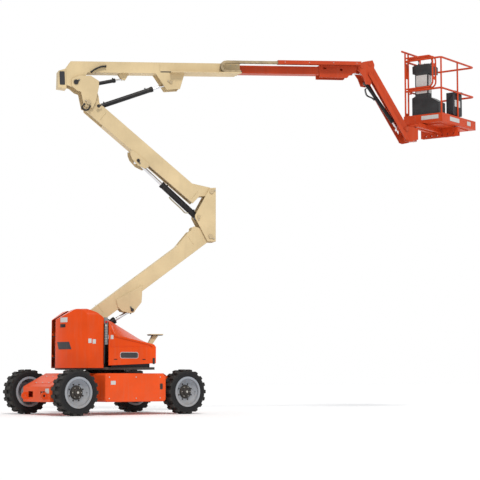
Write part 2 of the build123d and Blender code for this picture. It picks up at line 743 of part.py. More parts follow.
# ================= tower =================
LP = side(P0[0], P0[1], LOWER_DEG)
P1_L = local(P0, LOWER_DEG, P1)
LUG_L = local(P0, LOWER_DEG, LOWER_LUG)
TOP_L = AXIS_L + TUBE_H / 2
UNDER_L = AXIS_L - TUBE_H / 2
FORK_KINK = 1907.0
FORK_TIP = (2340.0, 160.0)
FOOT_SLOT_END = 440.0
FOOT_RELIEF_TOP = -60.0
FOOT_RELIEF_END = 128.0
FOLD_DOWN_DEG = 38.5
FORK_SLOT_START = 1960.0
LUG_PLATE_T = 14.0
with BuildPart() as lower_boom:
    prism(
        LP,
        [
            (-64, 20),
            (-64, -30),
            (-20, -62),
            (60, UNDER_L),
            (P1_L[0] - 90, UNDER_L),
            (P1_L[0] + 25, P1_L[1] - 54),
            (P1_L[0] + 52, P1_L[1] - 25),
            (P1_L[0] + 52, P1_L[1] + 25),
            (FORK_TIP[0] + 50, FORK_TIP[1] - 60),
            FORK_TIP,
            (FORK_TIP[0] - 30, FORK_TIP[1] + 2),
            (FORK_KINK, TOP_L),
            (60, TOP_L),
            (-20, 62),
        ],
        TUBE_W / 2,
    )
    prism(
        LP,
        [
            (120, UNDER_L + TUBE_WALL),
            (P1_L[0] - 200, UNDER_L + TUBE_WALL),
            (P1_L[0] - 200, TOP_L - TUBE_WALL),
            (120, TOP_L - TUBE_WALL),
        ],
        TUBE_W / 2 - TUBE_WALL,
        Mode.SUBTRACT,
    )
    # the foot is a fork, open below so that its cylinder can lie in it
    prism(LP, [(-100, -260), (-100, 200), (110, 200), (110, -260)], BARREL_SLOT, Mode.SUBTRACT)
    prism(
        LP,
        [
            (100, -260),
            (100, FOOT_RELIEF_TOP),
            (FOOT_RELIEF_END, FOOT_RELIEF_TOP),
            (FOOT_RELIEF_END, -160),
            (FOOT_SLOT_END, -160),
            (FOOT_SLOT_END, -260),
        ],
        BARREL_SLOT,
        Mode.SUBTRACT,
    )
    # the outer end is a fork, open above for the mid cylinder
    prism(
        LP,
        [(FORK_SLOT_START, 10), (FORK_SLOT_START, 260), (2600, 260), (2600, 10)],
        TUBE_W / 2 - 26,
        Mode.SUBTRACT,
    )
    cheeks(
        LP,
        [
            (586, -40),
            (536, -150),
            (556, -251),
            (642, -352),
            (LUG_L[0], LUG_L[1] - 50),
            (LUG_L[0] + 46, LUG_L[1] - 32),
            (894, -320),
            (972, -230),
            (1070, -104),
        ],
        TUBE_W / 2,
        TUBE_W / 2 + LUG_PLATE_T,
    )
    bosses(LOWER_LUG, BOSS_R, LANE_BIG + SEAT, TUBE_W / 2 + LUG_PLATE_T)
    bosses(LOWER_LUG, PIN_R, TUBE_W / 2, TUBE_W / 2 + LUG_PLATE_T + 10)
    # hollow in the fork's upper edge, where the mid cylinder's foot bosses come to lie when folded
    cross_bore(swung(MID_BASE, P1, FOLD_DOWN_DEG), BOSS_R + PASS_GAP, TUBE_W)
    for point in (P0, P1):
        cross_bore(point, PIN_R + RUN_FIT, TUBE_W)
save(lower_boom, "lower_boom")

with BuildPart() as lower_upright:
    cheeks(
        side(0, 0),
        [(1654, 2790), (1776, 2790), (1776, 3676), (1694, 3668), (1600, 3500), (1446, 3216), (1446, 3176)],
        PLATE_IN,
        PLATE_OUT,
    )
    with Locations((1784, 0, 3233)):
        Box(18, 2 * PLATE_OUT, 886)
    for point in (P1, P2):
        cross_pin(point, PIN_R, PLATE_OUT + 8)
        bosses(point, 50, TUBE_W / 2 + SEAT, PLATE_IN)
    cross_pin(MID_BASE, PIN_R, PLATE_OUT + 8)
    bosses(MID_BASE, BOSS_R, LANE_BIG + SEAT, PLATE_IN)
save(lower_upright, "lower_upright")

MP = side(P3[0], P3[1], MID_DEG)
P2_M = local(P3, MID_DEG, P2)
LUG_M = local(P3, MID_DEG, MID_LUG)
TOP_SLOT_END = 1150.0
NEST_START = 1080.0
NEST_TOP = -38.0
with BuildPart() as mid_boom:
    prism(
        MP,
        [
            (-54, -30),
            (-20, -62),
            (50, -TUBE_H / 2),
            (2340, -TUBE_H / 2),
            (2354, 40),
            (P2_M[0] - 20, P2_M[1] - 110),
            (P2_M[0] + 44, P2_M[1] - 30),
            (P2_M[0] + 48, P2_M[1] + 20),
            (P2_M[0] + 5, P2_M[1] + 50),
            (P2_M[0] - 60, P2_M[1] + 44),
            (P2_M[0] - 330, TUBE_H / 2),
            (50, TUBE_H / 2),
            (-20, 62),
            (-54, 30),
        ],
        TUBE_W / 2,
    )
    prism(
        MP,
        [
            (420, -TUBE_H / 2 + TUBE_WALL),
            (P2_M[0] - 200, -TUBE_H / 2 + TUBE_WALL),
            (P2_M[0] - 200, TUBE_H / 2 - TUBE_WALL),
            (420, TUBE_H / 2 - TUBE_WALL),
        ],
        TUBE_W / 2 - TUBE_WALL,
        Mode.SUBTRACT,
    )
    # the upper end is a fork, and the top stays open so that the main cylinder can lie in it
    prism(MP, [(-80, -140), (-80, 140), (410, 140), (410, -140)], 66, Mode.SUBTRACT)
    prism(MP, [(60, 0), (60, 260), (TOP_SLOT_END, 260), (TOP_SLOT_END, 0)], 66, Mode.SUBTRACT)
    prism(MP, [(400, -60), (400, 30), (450, 30), (450, -60)], 66, Mode.SUBTRACT)
    # open below over the outer half, where the mid cylinder nests between the side walls
    prism(
        MP,
        [(NEST_START, -260), (NEST_START, NEST_TOP), (2470, NEST_TOP), (2470, -260)],
        BARREL_SLOT,
        Mode.SUBTRACT,
    )
    cheeks(
        MP,
        [
            (1007, -144),
            (1052, -106),
            (1382, -106),
            (1408, -150),
            (1376, -214),
            (1258, -246),
            (LUG_M[0], LUG_M[1] - 58),
            (1120, -228),
            (1050, -190),
        ],
        TUBE_W / 2,
        TUBE_W / 2 + LUG_PLATE_T,
    )
    bosses(MID_LUG, BOSS_R, LANE_BIG + SEAT, TUBE_W / 2 + LUG_PLATE_T)
    bosses(MID_LUG, PIN_R, TUBE_W / 2, TUBE_W / 2 + LUG_PLATE_T + 10)
    for point in (P2, P3):
        cross_bore(point, PIN_R + RUN_FIT, TUBE_W)
save(mid_boom, "mid_boom")

MAIN_CHEEK = (42.0, 56.0)
MASTER_CHEEK = (30.0, 40.0)
with BuildPart() as upper_upright:
    cheeks(
        side(0, 0),
        [
            (-400, 4905),
            (-265, 4895),
            (-215, 5000),
            (-165, 5250),
            (-165, 5340),
            (-300, 5420),
            (-500, 5410),
            (-605, 5350),
            (-610, 5240),
            (-520, 5170),
            (-455, 5150),
        ],
        ROOT_IN,
        ROOT_OUT,
    )
    for point in (P3, PM):
        cross_pin(point, PIN_R, ROOT_OUT + 8)
    bosses(P3, 50, TUBE_W / 2 + SEAT, ROOT_IN)
    bosses(PM, 50, MAIN_W / 2 + SEAT, ROOT_IN)
    with Locations((-240, 0, 5200)):
        Box(20, 2 * ROOT_IN, 70)
    cheeks(
        side(0, 0),
        [(-232, 5235), (-225, 5100), (-205, 4900), (-150, 4890), (-130, 4930), (-150, 5100), (-195, 5235)],
        *MAIN_CHEEK,
    )
    cross_pin(MAIN_BASE, 22, MAIN_CHEEK[1] + 6)
    cheeks(
        side(0, 0),
        [(-250, 5165), (-286, 5290), (-274, 5326), (-248, 5328), (-226, 5300), (-230, 5165)],
        *MASTER_CHEEK,
    )
    cross_pin(MASTER_BASE, 14, MASTER_CHEEK[1] + 6)
save(upper_upright, "upper_upright")

# ================= main boom =================
BP = side(PM[0], PM[1], BOOM_DEG)
LUG_B = local(PM, BOOM_DEG, MAIN_LUG)
MAS_B = local(PM, BOOM_DEG, MASTER_LUG)
MAIN_TOP = MAIN_UNDER + MAIN_H
SHELF_Z = CARRIER_LOOP[1] - CARRIER_R - LINK_H / 2 - SEAT
PAD_L = 100.0
with BuildPart() as main_boom:
    prism(
        BP,
        [(-60, MAIN_UNDER), (MAIN_END - 40, MAIN_UNDER), (MAIN_END, MAIN_UNDER + 40), (MAIN_END, MAIN_TOP), (-60, MAIN_TOP)],
        MAIN_W / 2,
    )
    prism(
        BP,
        [
            (20, MAIN_UNDER + MAIN_WALL),
            (MAIN_END + 20, MAIN_UNDER + MAIN_WALL),
            (MAIN_END + 20, MAIN_TOP - MAIN_WALL),
            (20, MAIN_TOP - MAIN_WALL),
        ],
        MAIN_W / 2 - MAIN_WALL,
        Mode.SUBTRACT,
    )
    # wear pads inside the mouth, which the fly boom runs in
    for y in (-1, 1):
        pad_t = MAIN_W / 2 - MAIN_WALL - FLY_W / 2 - SEAT
        with BuildSketch(BP.offset(y * (FLY_W / 2 + SEAT))):
            with Locations((MAIN_END - 10 - PAD_L / 2, MAIN_MID)):
                Rectangle(PAD_L, 90)
        extrude(amount=y * (pad_t + 1))
    for z in (-1, 1):
        pad_z0 = MAIN_MID + z * (FLY_H / 2 + SEAT)
        pad_z1 = MAIN_MID + z * (MAIN_H / 2 - MAIN_WALL + 1)
        prism(
            BP,
            [
                (MAIN_END - 10 - PAD_L, pad_z0),
                (MAIN_END - 10, pad_z0),
                (MAIN_END - 10, pad_z1),
                (MAIN_END - 10 - PAD_L, pad_z1),
            ],
            60,
        )
    cheeks(
        BP,
        [
            (-150, 230),
            (-150, -40),
            (-60, -75),
            (60, -75),
            (200, MAIN_UNDER),
            (200, MAIN_UNDER + 100),
            (60, MAIN_TOP),
            (-60, MAIN_TOP),
        ],
        MAIN_W / 2 - 16,
        MAIN_W / 2,
    )
    prism(BP, [(-150, 230), (-150, 150), (-136, 150), (-136, 236), (-52, MAIN_TOP), (-68, MAIN_TOP)], MAIN_W / 2)
    cross_bore(PM, PIN_R + RUN_FIT, MAIN_W)
    # lift cylinder's bracket: an open box below the tube
    cheeks(
        BP,
        [
            (LUG_B[0] - 250, MAIN_UNDER),
            (LUG_B[0] - 74, LUG_B[1] - 126),
            (LUG_B[0] + 150, LUG_B[1] - 110),
            (LUG_B[0] + 236, MAIN_UNDER),
        ],
        MAIN_W / 2 - 12,
        MAIN_W / 2,
    )
    prism(
        BP,
        [
            (LUG_B[0] + 138, LUG_B[1] - 100),
            (LUG_B[0] + 150, LUG_B[1] - 100),
            (LUG_B[0] + 232, MAIN_UNDER),
            (LUG_B[0] + 218, MAIN_UNDER),
        ],
        MAIN_W / 2 - 12,
    )
    bosses(MAIN_LUG, 36, LANE_MAIN + SEAT, MAIN_W / 2)
    bosses(MAIN_LUG, 22, MAIN_W / 2 - 2, MAIN_W / 2 + 8)
    cheeks(
        BP,
        [
            (MAS_B[0] - 90, MAIN_UNDER),
            (MAS_B[0] - 25, MAS_B[1] - 24),
            (MAS_B[0] + 25, MAS_B[1] - 24),
            (MAS_B[0] + 90, MAIN_UNDER),
        ],
        LANE_SMALL + SEAT,
        LANE_SMALL + 14,
    )
    bosses(MASTER_LUG, 14, LANE_SMALL + SEAT, LANE_SMALL + 20)
    # shelf on the near side, which the cable carrier's lower run lies on
    with BuildSketch(BP.offset(MAIN_W / 2 - 2)):
        with Locations(((1560 + MAIN_END) / 2, SHELF_Z - 4)):
            Rectangle(MAIN_END - 1560, 8)
    extrude(amount=CARRIER_Y1 - MAIN_W / 2 + 2)
    with BuildSketch(BP.offset(CARRIER_Y1)):
        with Locations(((1560 + MAIN_END) / 2, SHELF_Z)):
            Rectangle(MAIN_END - 1560, 16)
    extrude(amount=4)
save(main_boom, "main_boom")

COVER_W = 110.0
with BuildPart() as tail_cover:
    prism(BP, [(-150 - SEAT, 226), (-268, 190), (-285, -80), (-150 - SEAT, -100)], COVER_W)
save(tail_cover, "tail_cover")

FB = side(PM[0], PM[1], BOOM_DEG)
KN_B = local(PM, BOOM_DEG, KNUCKLE)
HEAD_X0 = 4160.0
HEAD_IN = 88.0
HEAD_OUT = 104.0
FLY_PIN_R = 25.0
with BuildPart() as fly_boom:
    for half_h, half_w, mode in (
        (FLY_H / 2, FLY_W / 2, Mode.ADD),
        (FLY_H / 2 - FLY_WALL, FLY_W / 2 - FLY_WALL, Mode.SUBTRACT),
    ):
        prism(
            FB,
            [
                (FLY_TAIL, MAIN_MID - half_h),
                (FLY_END, MAIN_MID - half_h),
                (FLY_END, MAIN_MID + half_h),
                (FLY_TAIL, MAIN_MID + half_h),
            ],
            half_w,
            mode,
        )
    # wear pads round the tail, which run inside the main boom
    for y in (-1, 1):
        with BuildSketch(FB.offset(y * (FLY_W / 2 - 1))):
            with Locations((FLY_TAIL + 20 + PAD_L / 2, MAIN_MID)):
                Rectangle(PAD_L, 90)
        extrude(amount=y * (MAIN_W / 2 - MAIN_WALL - SEAT - FLY_W / 2 + 1))
    for z in (-1, 1):
        pad_z0 = MAIN_MID + z * (FLY_H / 2 - 1)
        pad_z1 = MAIN_MID + z * (MAIN_H / 2 - MAIN_WALL - SEAT)
        prism(
            FB,
            [
                (FLY_TAIL + 20, pad_z0),
                (FLY_TAIL + 20 + PAD_L, pad_z0),
                (FLY_TAIL + 20 + PAD_L, pad_z1),
                (FLY_TAIL + 20, pad_z1),
            ],
            60,
        )
    cheeks(
        FB,
        [
            (HEAD_X0, MAIN_MID + 86),
            (4700, MAIN_MID + 84),
            (KN_B[0], KN_B[1] + 60),
            (KN_B[0] + 60, KN_B[1] + 24),
            (KN_B[0] + 60, KN_B[1] - 30),
            (KN_B[0], KN_B[1] - 64),
            (4770, MAIN_MID - 45),
            (4650, MAIN_MID - 126),
            (HEAD_X0, MAIN_MID - 122),
        ],
        HEAD_IN,
        HEAD_OUT,
    )
    with BuildSketch(FB):
        with Locations((4258, MAIN_MID + 38)):
            SlotOverall(64, 30)
        with Locations((4557, MAIN_MID + 14)):
            Circle(24)
    extrude(amount=HEAD_OUT + 10, both=True, mode=Mode.SUBTRACT)
    prism(
        FB,
        [
            (HEAD_X0, MAIN_MID + 70),
            (4700, MAIN_MID + 68),
            (4700, MAIN_MID + 80),
            (HEAD_X0, MAIN_MID + 82),
        ],
        HEAD_IN + 2,
    )
    cross_pin(SLAVE_BASE, 16, HEAD_IN + 2)
    bosses(SLAVE_BASE, 28, LANE_SMALL + SEAT, HEAD_IN + 2)
    cross_bore(KNUCKLE, FLY_PIN_R + RUN_FIT, 120)
    # hollows in the cheeks' lower edge, where the jib base's bosses pass when the boom is raised
    for lean in (56.0, 64.0, TOP_LEAN):
        cross_bore(swung(SLAVE_LUG, KNUCKLE, -lean), SLAVE_BOSS_R + PASS_GAP, 120)
    for lean in (62.0, 67.0, TOP_LEAN):
        cross_bore(swung(JIB_BASE_EYE, KNUCKLE, -lean), JIB_BOSS_R + PASS_GAP, 120)
    # bracket for the cable tray on the near cheek
    with BuildSketch(FB.offset(HEAD_OUT - 2)):
        with Locations((4440, MAIN_MID + 76)):
            Rectangle(500, 18)
    extrude(amount=CARRIER_Y0 - TRAY_T - 2 - HEAD_OUT + 2)
save(fly_boom, "fly_boom")

# ================= cable carrier =================
RUN_LOW = CARRIER_LOW_END - CARRIER_LOOP[0]
RUN_BEND = math.pi * CARRIER_R
RUN_TOP = CARRIER_TOP_END - CARRIER_LOOP[0]
LINK_COUNT = round((RUN_LOW + RUN_BEND + RUN_TOP) / LINK_PITCH)
PITCH = (RUN_LOW + RUN_BEND + RUN_TOP) / LINK_COUNT
LINK_OUTLINE = ((-36, -10), (-26, -21), (26, -21), (36, -10), (36, 10), (26, 21), (-26, 21), (-36, 10))
LINK_PLATE = 5.0


def carrier_point(s):
    """Point on the carrier's middle line, s from the lower run's end round the loop to the top run's end."""
    cx, cz = CARRIER_LOOP
    if s < RUN_LOW:
        return (CARRIER_LOW_END - s, cz - CARRIER_R)
    if s < RUN_LOW + RUN_BEND:
        a = (s - RUN_LOW) / CARRIER_R
        return (cx - CARRIER_R * math.sin(a), cz - CARRIER_R * math.cos(a))
    return (cx + s - RUN_LOW - RUN_BEND, cz + CARRIER_R)


def link_place(k):
    """Middle point and direction in degrees of link k."""
    a, b = carrier_point(k * PITCH), carrier_point((k + 1) * PITCH)
    return ((a[0] + b[0]) / 2, (a[1] + b[1]) / 2), math.degrees(math.atan2(b[1] - a[1], b[0] - a[0]))


def placed(point, deg, x, z):
    """Offset (x, z) from a point, turned by deg."""
    a = math.radians(deg)
    return (point[0] + x * math.cos(a) - z * math.sin(a), point[1] + x * math.sin(a) + z * math.cos(a))


CARRIER_LANES = (
    # start off the middle plane, first link in this lane
    (CARRIER_Y0, 0),
    (CARRIER_Y0 + LINK_PLATE, 1),
    (CARRIER_Y1 - LINK_PLATE, 0),
    (CARRIER_Y1 - 2 * LINK_PLATE, 1),
)
with BuildPart() as cable_track:
    for lane_y, first in CARRIER_LANES:
        with BuildSketch(BP.offset(lane_y)):
            for k in range(first, LINK_COUNT, 2):
                middle, deg = link_place(k)
                with BuildLine():
                    Polyline(*[placed(middle, deg, x, z) for x, z in LINK_OUTLINE], close=True)
                make_face()
        extrude(amount=LINK_PLATE)
    with BuildSketch(BP.offset(CARRIER_Y0 + 2)):
        for k in range(LINK_COUNT):
            middle, deg = link_place(k)
            for z in (-17, 17):
                with Locations(placed(middle, deg, 0, z)):
                    Rectangle(16, 6, rotation=deg)
    extrude(amount=CARRIER_Y1 - CARRIER_Y0 - 4)
save(cable_track, "cable_track")

# the hoses touch the cross bars within the bend
HOSE_R = 9.7
HOSE_LANES = (CARRIER_Y0 + 20.5, (CARRIER_Y0 + CARRIER_Y1) / 2, CARRIER_Y1 - 20.5)
with BuildPart() as carrier_hoses:
    for lane_y in HOSE_LANES:
        hose_plane = BP.offset(lane_y)
        with BuildLine(hose_plane) as hose_line:
            Line((CARRIER_LOW_END + 30, carrier_point(0)[1]), carrier_point(RUN_LOW))
            RadiusArc(carrier_point(RUN_LOW), carrier_point(RUN_LOW + RUN_BEND / 2), CARRIER_R)
            RadiusArc(
                carrier_point(RUN_LOW + RUN_BEND / 2),
                carrier_point(RUN_LOW + RUN_BEND),
                CARRIER_R,
            )
            Line(
                carrier_point(RUN_LOW + RUN_BEND),
                (CARRIER_TOP_END + 30, carrier_point(RUN_LOW + RUN_BEND + RUN_TOP)[1]),
            )
        with BuildSketch(Plane(origin=hose_line.line @ 0, z_dir=hose_line.line % 0)):
            Circle(HOSE_R)
        sweep(path=hose_line.line)
save(carrier_hoses, "carrier_hoses")

TRAY_LOW = CARRIER_LOOP[1] + CARRIER_R - LINK_H / 2 - SEAT - TRAY_T
TRAY_TOP = CARRIER_LOOP[1] + CARRIER_R + LINK_H / 2 + 16
TRAY_Y0 = CARRIER_Y0 - TRAY_T - 2
TRAY_Y1 = CARRIER_Y1 + TRAY_T + 2
with BuildPart() as cable_tray:
    with BuildSketch(BP.offset(TRAY_Y0)):
        with Locations(((TRAY_X0 + TRAY_X1) / 2, (TRAY_LOW + TRAY_TOP) / 2)):
            Rectangle(TRAY_X1 - TRAY_X0, TRAY_TOP - TRAY_LOW)
    extrude(amount=TRAY_Y1 - TRAY_Y0)
    with BuildSketch(BP.offset(TRAY_Y0 + TRAY_T)):
        with Locations(((TRAY_X0 + TRAY_X1) / 2, (TRAY_LOW + TRAY_TOP) / 2)):
            Rectangle(TRAY_X1 - TRAY_X0 + 10, TRAY_TOP - TRAY_LOW - 2 * TRAY_T)
    extrude(amount=TRAY_Y1 - TRAY_Y0 - 2 * TRAY_T, mode=Mode.SUBTRACT)
    with BuildSketch(BP.offset(TRAY_Y0 + 22)):
        with Locations(((TRAY_X0 + TRAY_X1) / 2, TRAY_LOW)):
            Rectangle(TRAY_X1 - TRAY_X0 + 10, 3 * TRAY_T)
    extrude(amount=TRAY_Y1 - TRAY_Y0 - 44, mode=Mode.SUBTRACT)
save(cable_tray, "cable_tray")

# ================= jib =================
JIB_PIN_R = 24.0
LINK_PIN_R = 15.0
BASE_IN = 115.0
BASE_OUT = 133.0
LINK_IN = 142.0
LINK_OUT = 162.0
ARM_IN = 62.0
ARM_OUT = 108.0
JIB_CHEEK = (ARM_IN, ARM_IN + 18)



LINK0 = (JIB_TOP[0] + LINK_DROP[0], JIB_TOP[1] + LINK_DROP[1])
LINK1 = (JIB_END[0] + LINK_DROP[0], JIB_END[1] + LINK_DROP[1])
with BuildPart() as jib_base:
    cheeks(
        side(0, 0),
        [
            (KNUCKLE[0] - 70, KNUCKLE[1] + 20),
            (KNUCKLE[0] + 20, KNUCKLE[1] + 90),
            (JIB_TOP[0] + 50, JIB_TOP[1] + 75),
            (JIB_TOP[0] + 85, JIB_TOP[1]),
            (JIB_TOP[0] + 60, JIB_TOP[1] - 200),
            (JIB_BASE_EYE[0] + 45, JIB_BASE_EYE[1] - 50),
            (JIB_BASE_EYE[0] - 45, JIB_BASE_EYE[1] - 40),
            (KNUCKLE[0] + 20, KNUCKLE[1] - 160),
            (KNUCKLE[0] - 60, KNUCKLE[1] - 50),
        ],
        BASE_IN,
        BASE_OUT,
    )
    cross_pin(KNUCKLE, FLY_PIN_R, BASE_OUT + 6)
    bosses(KNUCKLE, 46, HEAD_OUT + SEAT, BASE_IN)
    bosses(SLAVE_LUG, SLAVE_BOSS_R, LANE_SMALL + SEAT, BASE_OUT)
    cross_pin(JIB_BASE_EYE, 18, BASE_OUT + 4)
    bosses(JIB_BASE_EYE, JIB_BOSS_R, LANE_MAIN + SEAT, BASE_IN)
    bosses(JIB_TOP, JIB_PIN_R, ARM_IN - 4, BASE_OUT + 4)
    bosses(LINK0, LINK_PIN_R, BASE_IN, LINK_OUT + 3)
save(jib_base, "jib_base")

JIB_L, JIB_DEG = reach(JIB_TOP, JIB_END)
JP = side(*JIB_TOP, JIB_DEG)
EYE_J = local(JIB_TOP, JIB_DEG, JIB_ROD_EYE)
with BuildPart() as jib_arm:
    for y0 in (ARM_IN, -ARM_OUT):
        with BuildSketch(JP.offset(y0)):
            with Locations((JIB_L / 2, 0)):
                SlotOverall(JIB_L + 96, 96)
        extrude(amount=ARM_OUT - ARM_IN)
    prism(JP, [(150, 38), (JIB_L - 150, 38), (JIB_L - 150, 48), (150, 48)], ARM_IN)
    cheeks(
        JP,
        [
            (EYE_J[0] - 120, -30),
            (EYE_J[0] - 30, EYE_J[1] - 28),
            (EYE_J[0] + 30, EYE_J[1] - 28),
            (EYE_J[0] + 40, -30),
        ],
        *JIB_CHEEK,
    )
    bosses(JIB_ROD_EYE, 26, LANE_MAIN + SEAT, JIB_CHEEK[1])
    for point in (JIB_TOP, JIB_END):
        cross_bore(point, JIB_PIN_R + RUN_FIT, 120)
save(jib_arm, "jib_arm")

with BuildPart() as jib_link:
    for y0 in (LINK_IN, -LINK_OUT):
        with BuildSketch(side(*LINK0, JIB_DEG).offset(y0)):
            with Locations((JIB_L / 2, 0)):
                SlotOverall(JIB_L + 60, 60)
        extrude(amount=LINK_OUT - LINK_IN)
    for point in (LINK0, LINK1):
        cross_bore(point, LINK_PIN_R + RUN_FIT, 200)
save(jib_link, "jib_links")

HEAD_Z = 4730.0
with BuildPart() as jib_head:
    cheeks(
        side(0, 0),
        [
            (JIB_END[0] - 50, JIB_END[1] + 30),
            (JIB_END[0] + 20, JIB_END[1] + 60),
            (ROTATOR_X, JIB_END[1] + 50),
            (ROTATOR_X, LINK1[1] - 20),
            (LINK1[0] + 20, LINK1[1] - 50),
            (LINK1[0] - 40, LINK1[1] - 30),
        ],
        BASE_IN,
        BASE_OUT,
    )
    bosses(JIB_END, JIB_PIN_R, ARM_IN - 4, BASE_OUT + 4)
    bosses(LINK1, LINK_PIN_R, BASE_IN, LINK_OUT + 3)
    with Locations((ROTATOR_X, 0, HEAD_Z)):
        Cylinder(ROTATOR_R, 230)
        Box(120, 2 * BASE_OUT, 200)
    with Locations((ROTATOR_X, 0, HEAD_Z + 120)):
        Cylinder(40, 40)
    # recess on the boom side, for the arm's rod lug when the jib is right up
    with Locations((ROTATOR_X - 60, 0, HEAD_Z - 39)):
        Box(80, 180, 104, mode=Mode.SUBTRACT)
save(jib_head, "jib_head")

# ================= platform =================
PF = turned(ROTATOR_X, 0, 0, PLATFORM_TURN)
PF_P = Plane(origin=PF.origin, x_dir=PF.x_dir, z_dir=-PF.y_dir)
PF_Q = Plane(origin=PF.origin, x_dir=PF.y_dir, z_dir=PF.x_dir)
PMID_P = (PLATFORM_P0 + PLATFORM_P1) / 2
PMID_Q = (PLATFORM_Q0 + PLATFORM_Q1) / 2
P_LEN = PLATFORM_P1 - PLATFORM_P0
Q_LEN = PLATFORM_Q1 - PLATFORM_Q0
SUPPORT_TOP = FLOOR_Z - 18
BEAM_Z0 = 4790.0
BEAM_W = 64.0
BEAM_WALL = 7.0
BEAM_HOLES = 6
BEAM_PITCH = 112.0
SPINE_H = 76.0
SPINE_Q = (-68.0, 60.0)
with BuildPart(PF) as platform_support:
    with Locations((0, 0, 4868)):
        Cylinder(100, 30)
    for q in SPINE_Q:
        with Locations(((PLATFORM_P1 - 130) / 2 + 30, q, SUPPORT_TOP - SPINE_H / 2)):
            Box(PLATFORM_P1 - 190, 60, SPINE_H)
    with Locations((0, -5, 4888)):
        Box(120, 190, 40)
    with BuildSketch(PF_Q.offset(PMID_P - BEAM_W / 2)):
        with Locations((PMID_Q, (BEAM_Z0 + SUPPORT_TOP) / 2)):
            Rectangle(Q_LEN - 20, SUPPORT_TOP - BEAM_Z0)
    extrude(amount=BEAM_W)
    with BuildSketch(PF_Q.offset(PMID_P - BEAM_W / 2 + BEAM_WALL)):
        with Locations((PMID_Q, (BEAM_Z0 + SUPPORT_TOP - SPINE_H) / 2 - BEAM_WALL)):
            Rectangle(Q_LEN - 10, SUPPORT_TOP - SPINE_H - BEAM_Z0)
    extrude(amount=BEAM_W - 2 * BEAM_WALL, mode=Mode.SUBTRACT)
    with BuildSketch(PF_Q.offset(PMID_P - BEAM_W)):
        for k in range(BEAM_HOLES):
            with Locations((PMID_Q + (k - (BEAM_HOLES - 1) / 2) * BEAM_PITCH, BEAM_Z0 + 42)):
                Circle(22)
    extrude(amount=2 * BEAM_W, mode=Mode.SUBTRACT)
    with Locations((0, 0, 4868)):
        Cylinder(40 + RUN_FIT, 240, mode=Mode.SUBTRACT)
save(platform_support, "platform_support")

TOE_T = 6.0
with BuildPart(PF) as platform_floor:
    with Locations((PMID_P, PMID_Q, (FLOOR_Z + TOE_TOP) / 2)):
        Box(P_LEN, Q_LEN, TOE_TOP - FLOOR_Z)
    with Locations((PMID_P, PMID_Q, (FLOOR_Z + TOE_TOP) / 2 + FLOOR_T)):
        Box(P_LEN - 2 * TOE_T, Q_LEN - 2 * TOE_T, TOE_TOP - FLOOR_Z, mode=Mode.SUBTRACT)
    with Locations((PMID_P, PMID_Q, FLOOR_Z - 9)):
        Box(P_LEN - 200, Q_LEN - 200, 18)
save(platform_floor, "platform_floor")

DECK_Z = FLOOR_Z + FLOOR_T
RAIL_P0 = PLATFORM_P0 + RAIL_IN
RAIL_P1 = PLATFORM_P1 - RAIL_IN
RAIL_Q0 = PLATFORM_Q0 + RAIL_IN
RAIL_Q1 = PLATFORM_Q1 - RAIL_IN
GATE_POST_P = RAIL_P0 + 106
LOOP_END_Q = RAIL_Q1 - 546
LOOP_R = 14.0
LOOP_TOP = TOP_RAIL + 38
LOOP_LOW = MID_RAIL + 44
TOP_MID = TOP_RAIL - RAIL_R
POSTS = (
    # p, q, top
    (RAIL_P0, RAIL_Q0, TOP_MID),
    (RAIL_P0, RAIL_Q1, GUARD_RAIL - RAIL_R),
    (GATE_POST_P, RAIL_Q1, GUARD_RAIL - RAIL_R),
    (PMID_P, RAIL_Q0, TOP_MID),
    (PMID_P, RAIL_Q1, TOP_MID),
)


def platform_pipe(points, radius, bend):
    """Round rail through points in the platform's axes."""
    pipe([tuple(PF.from_local_coords(point)) for point in points], radius, bend)


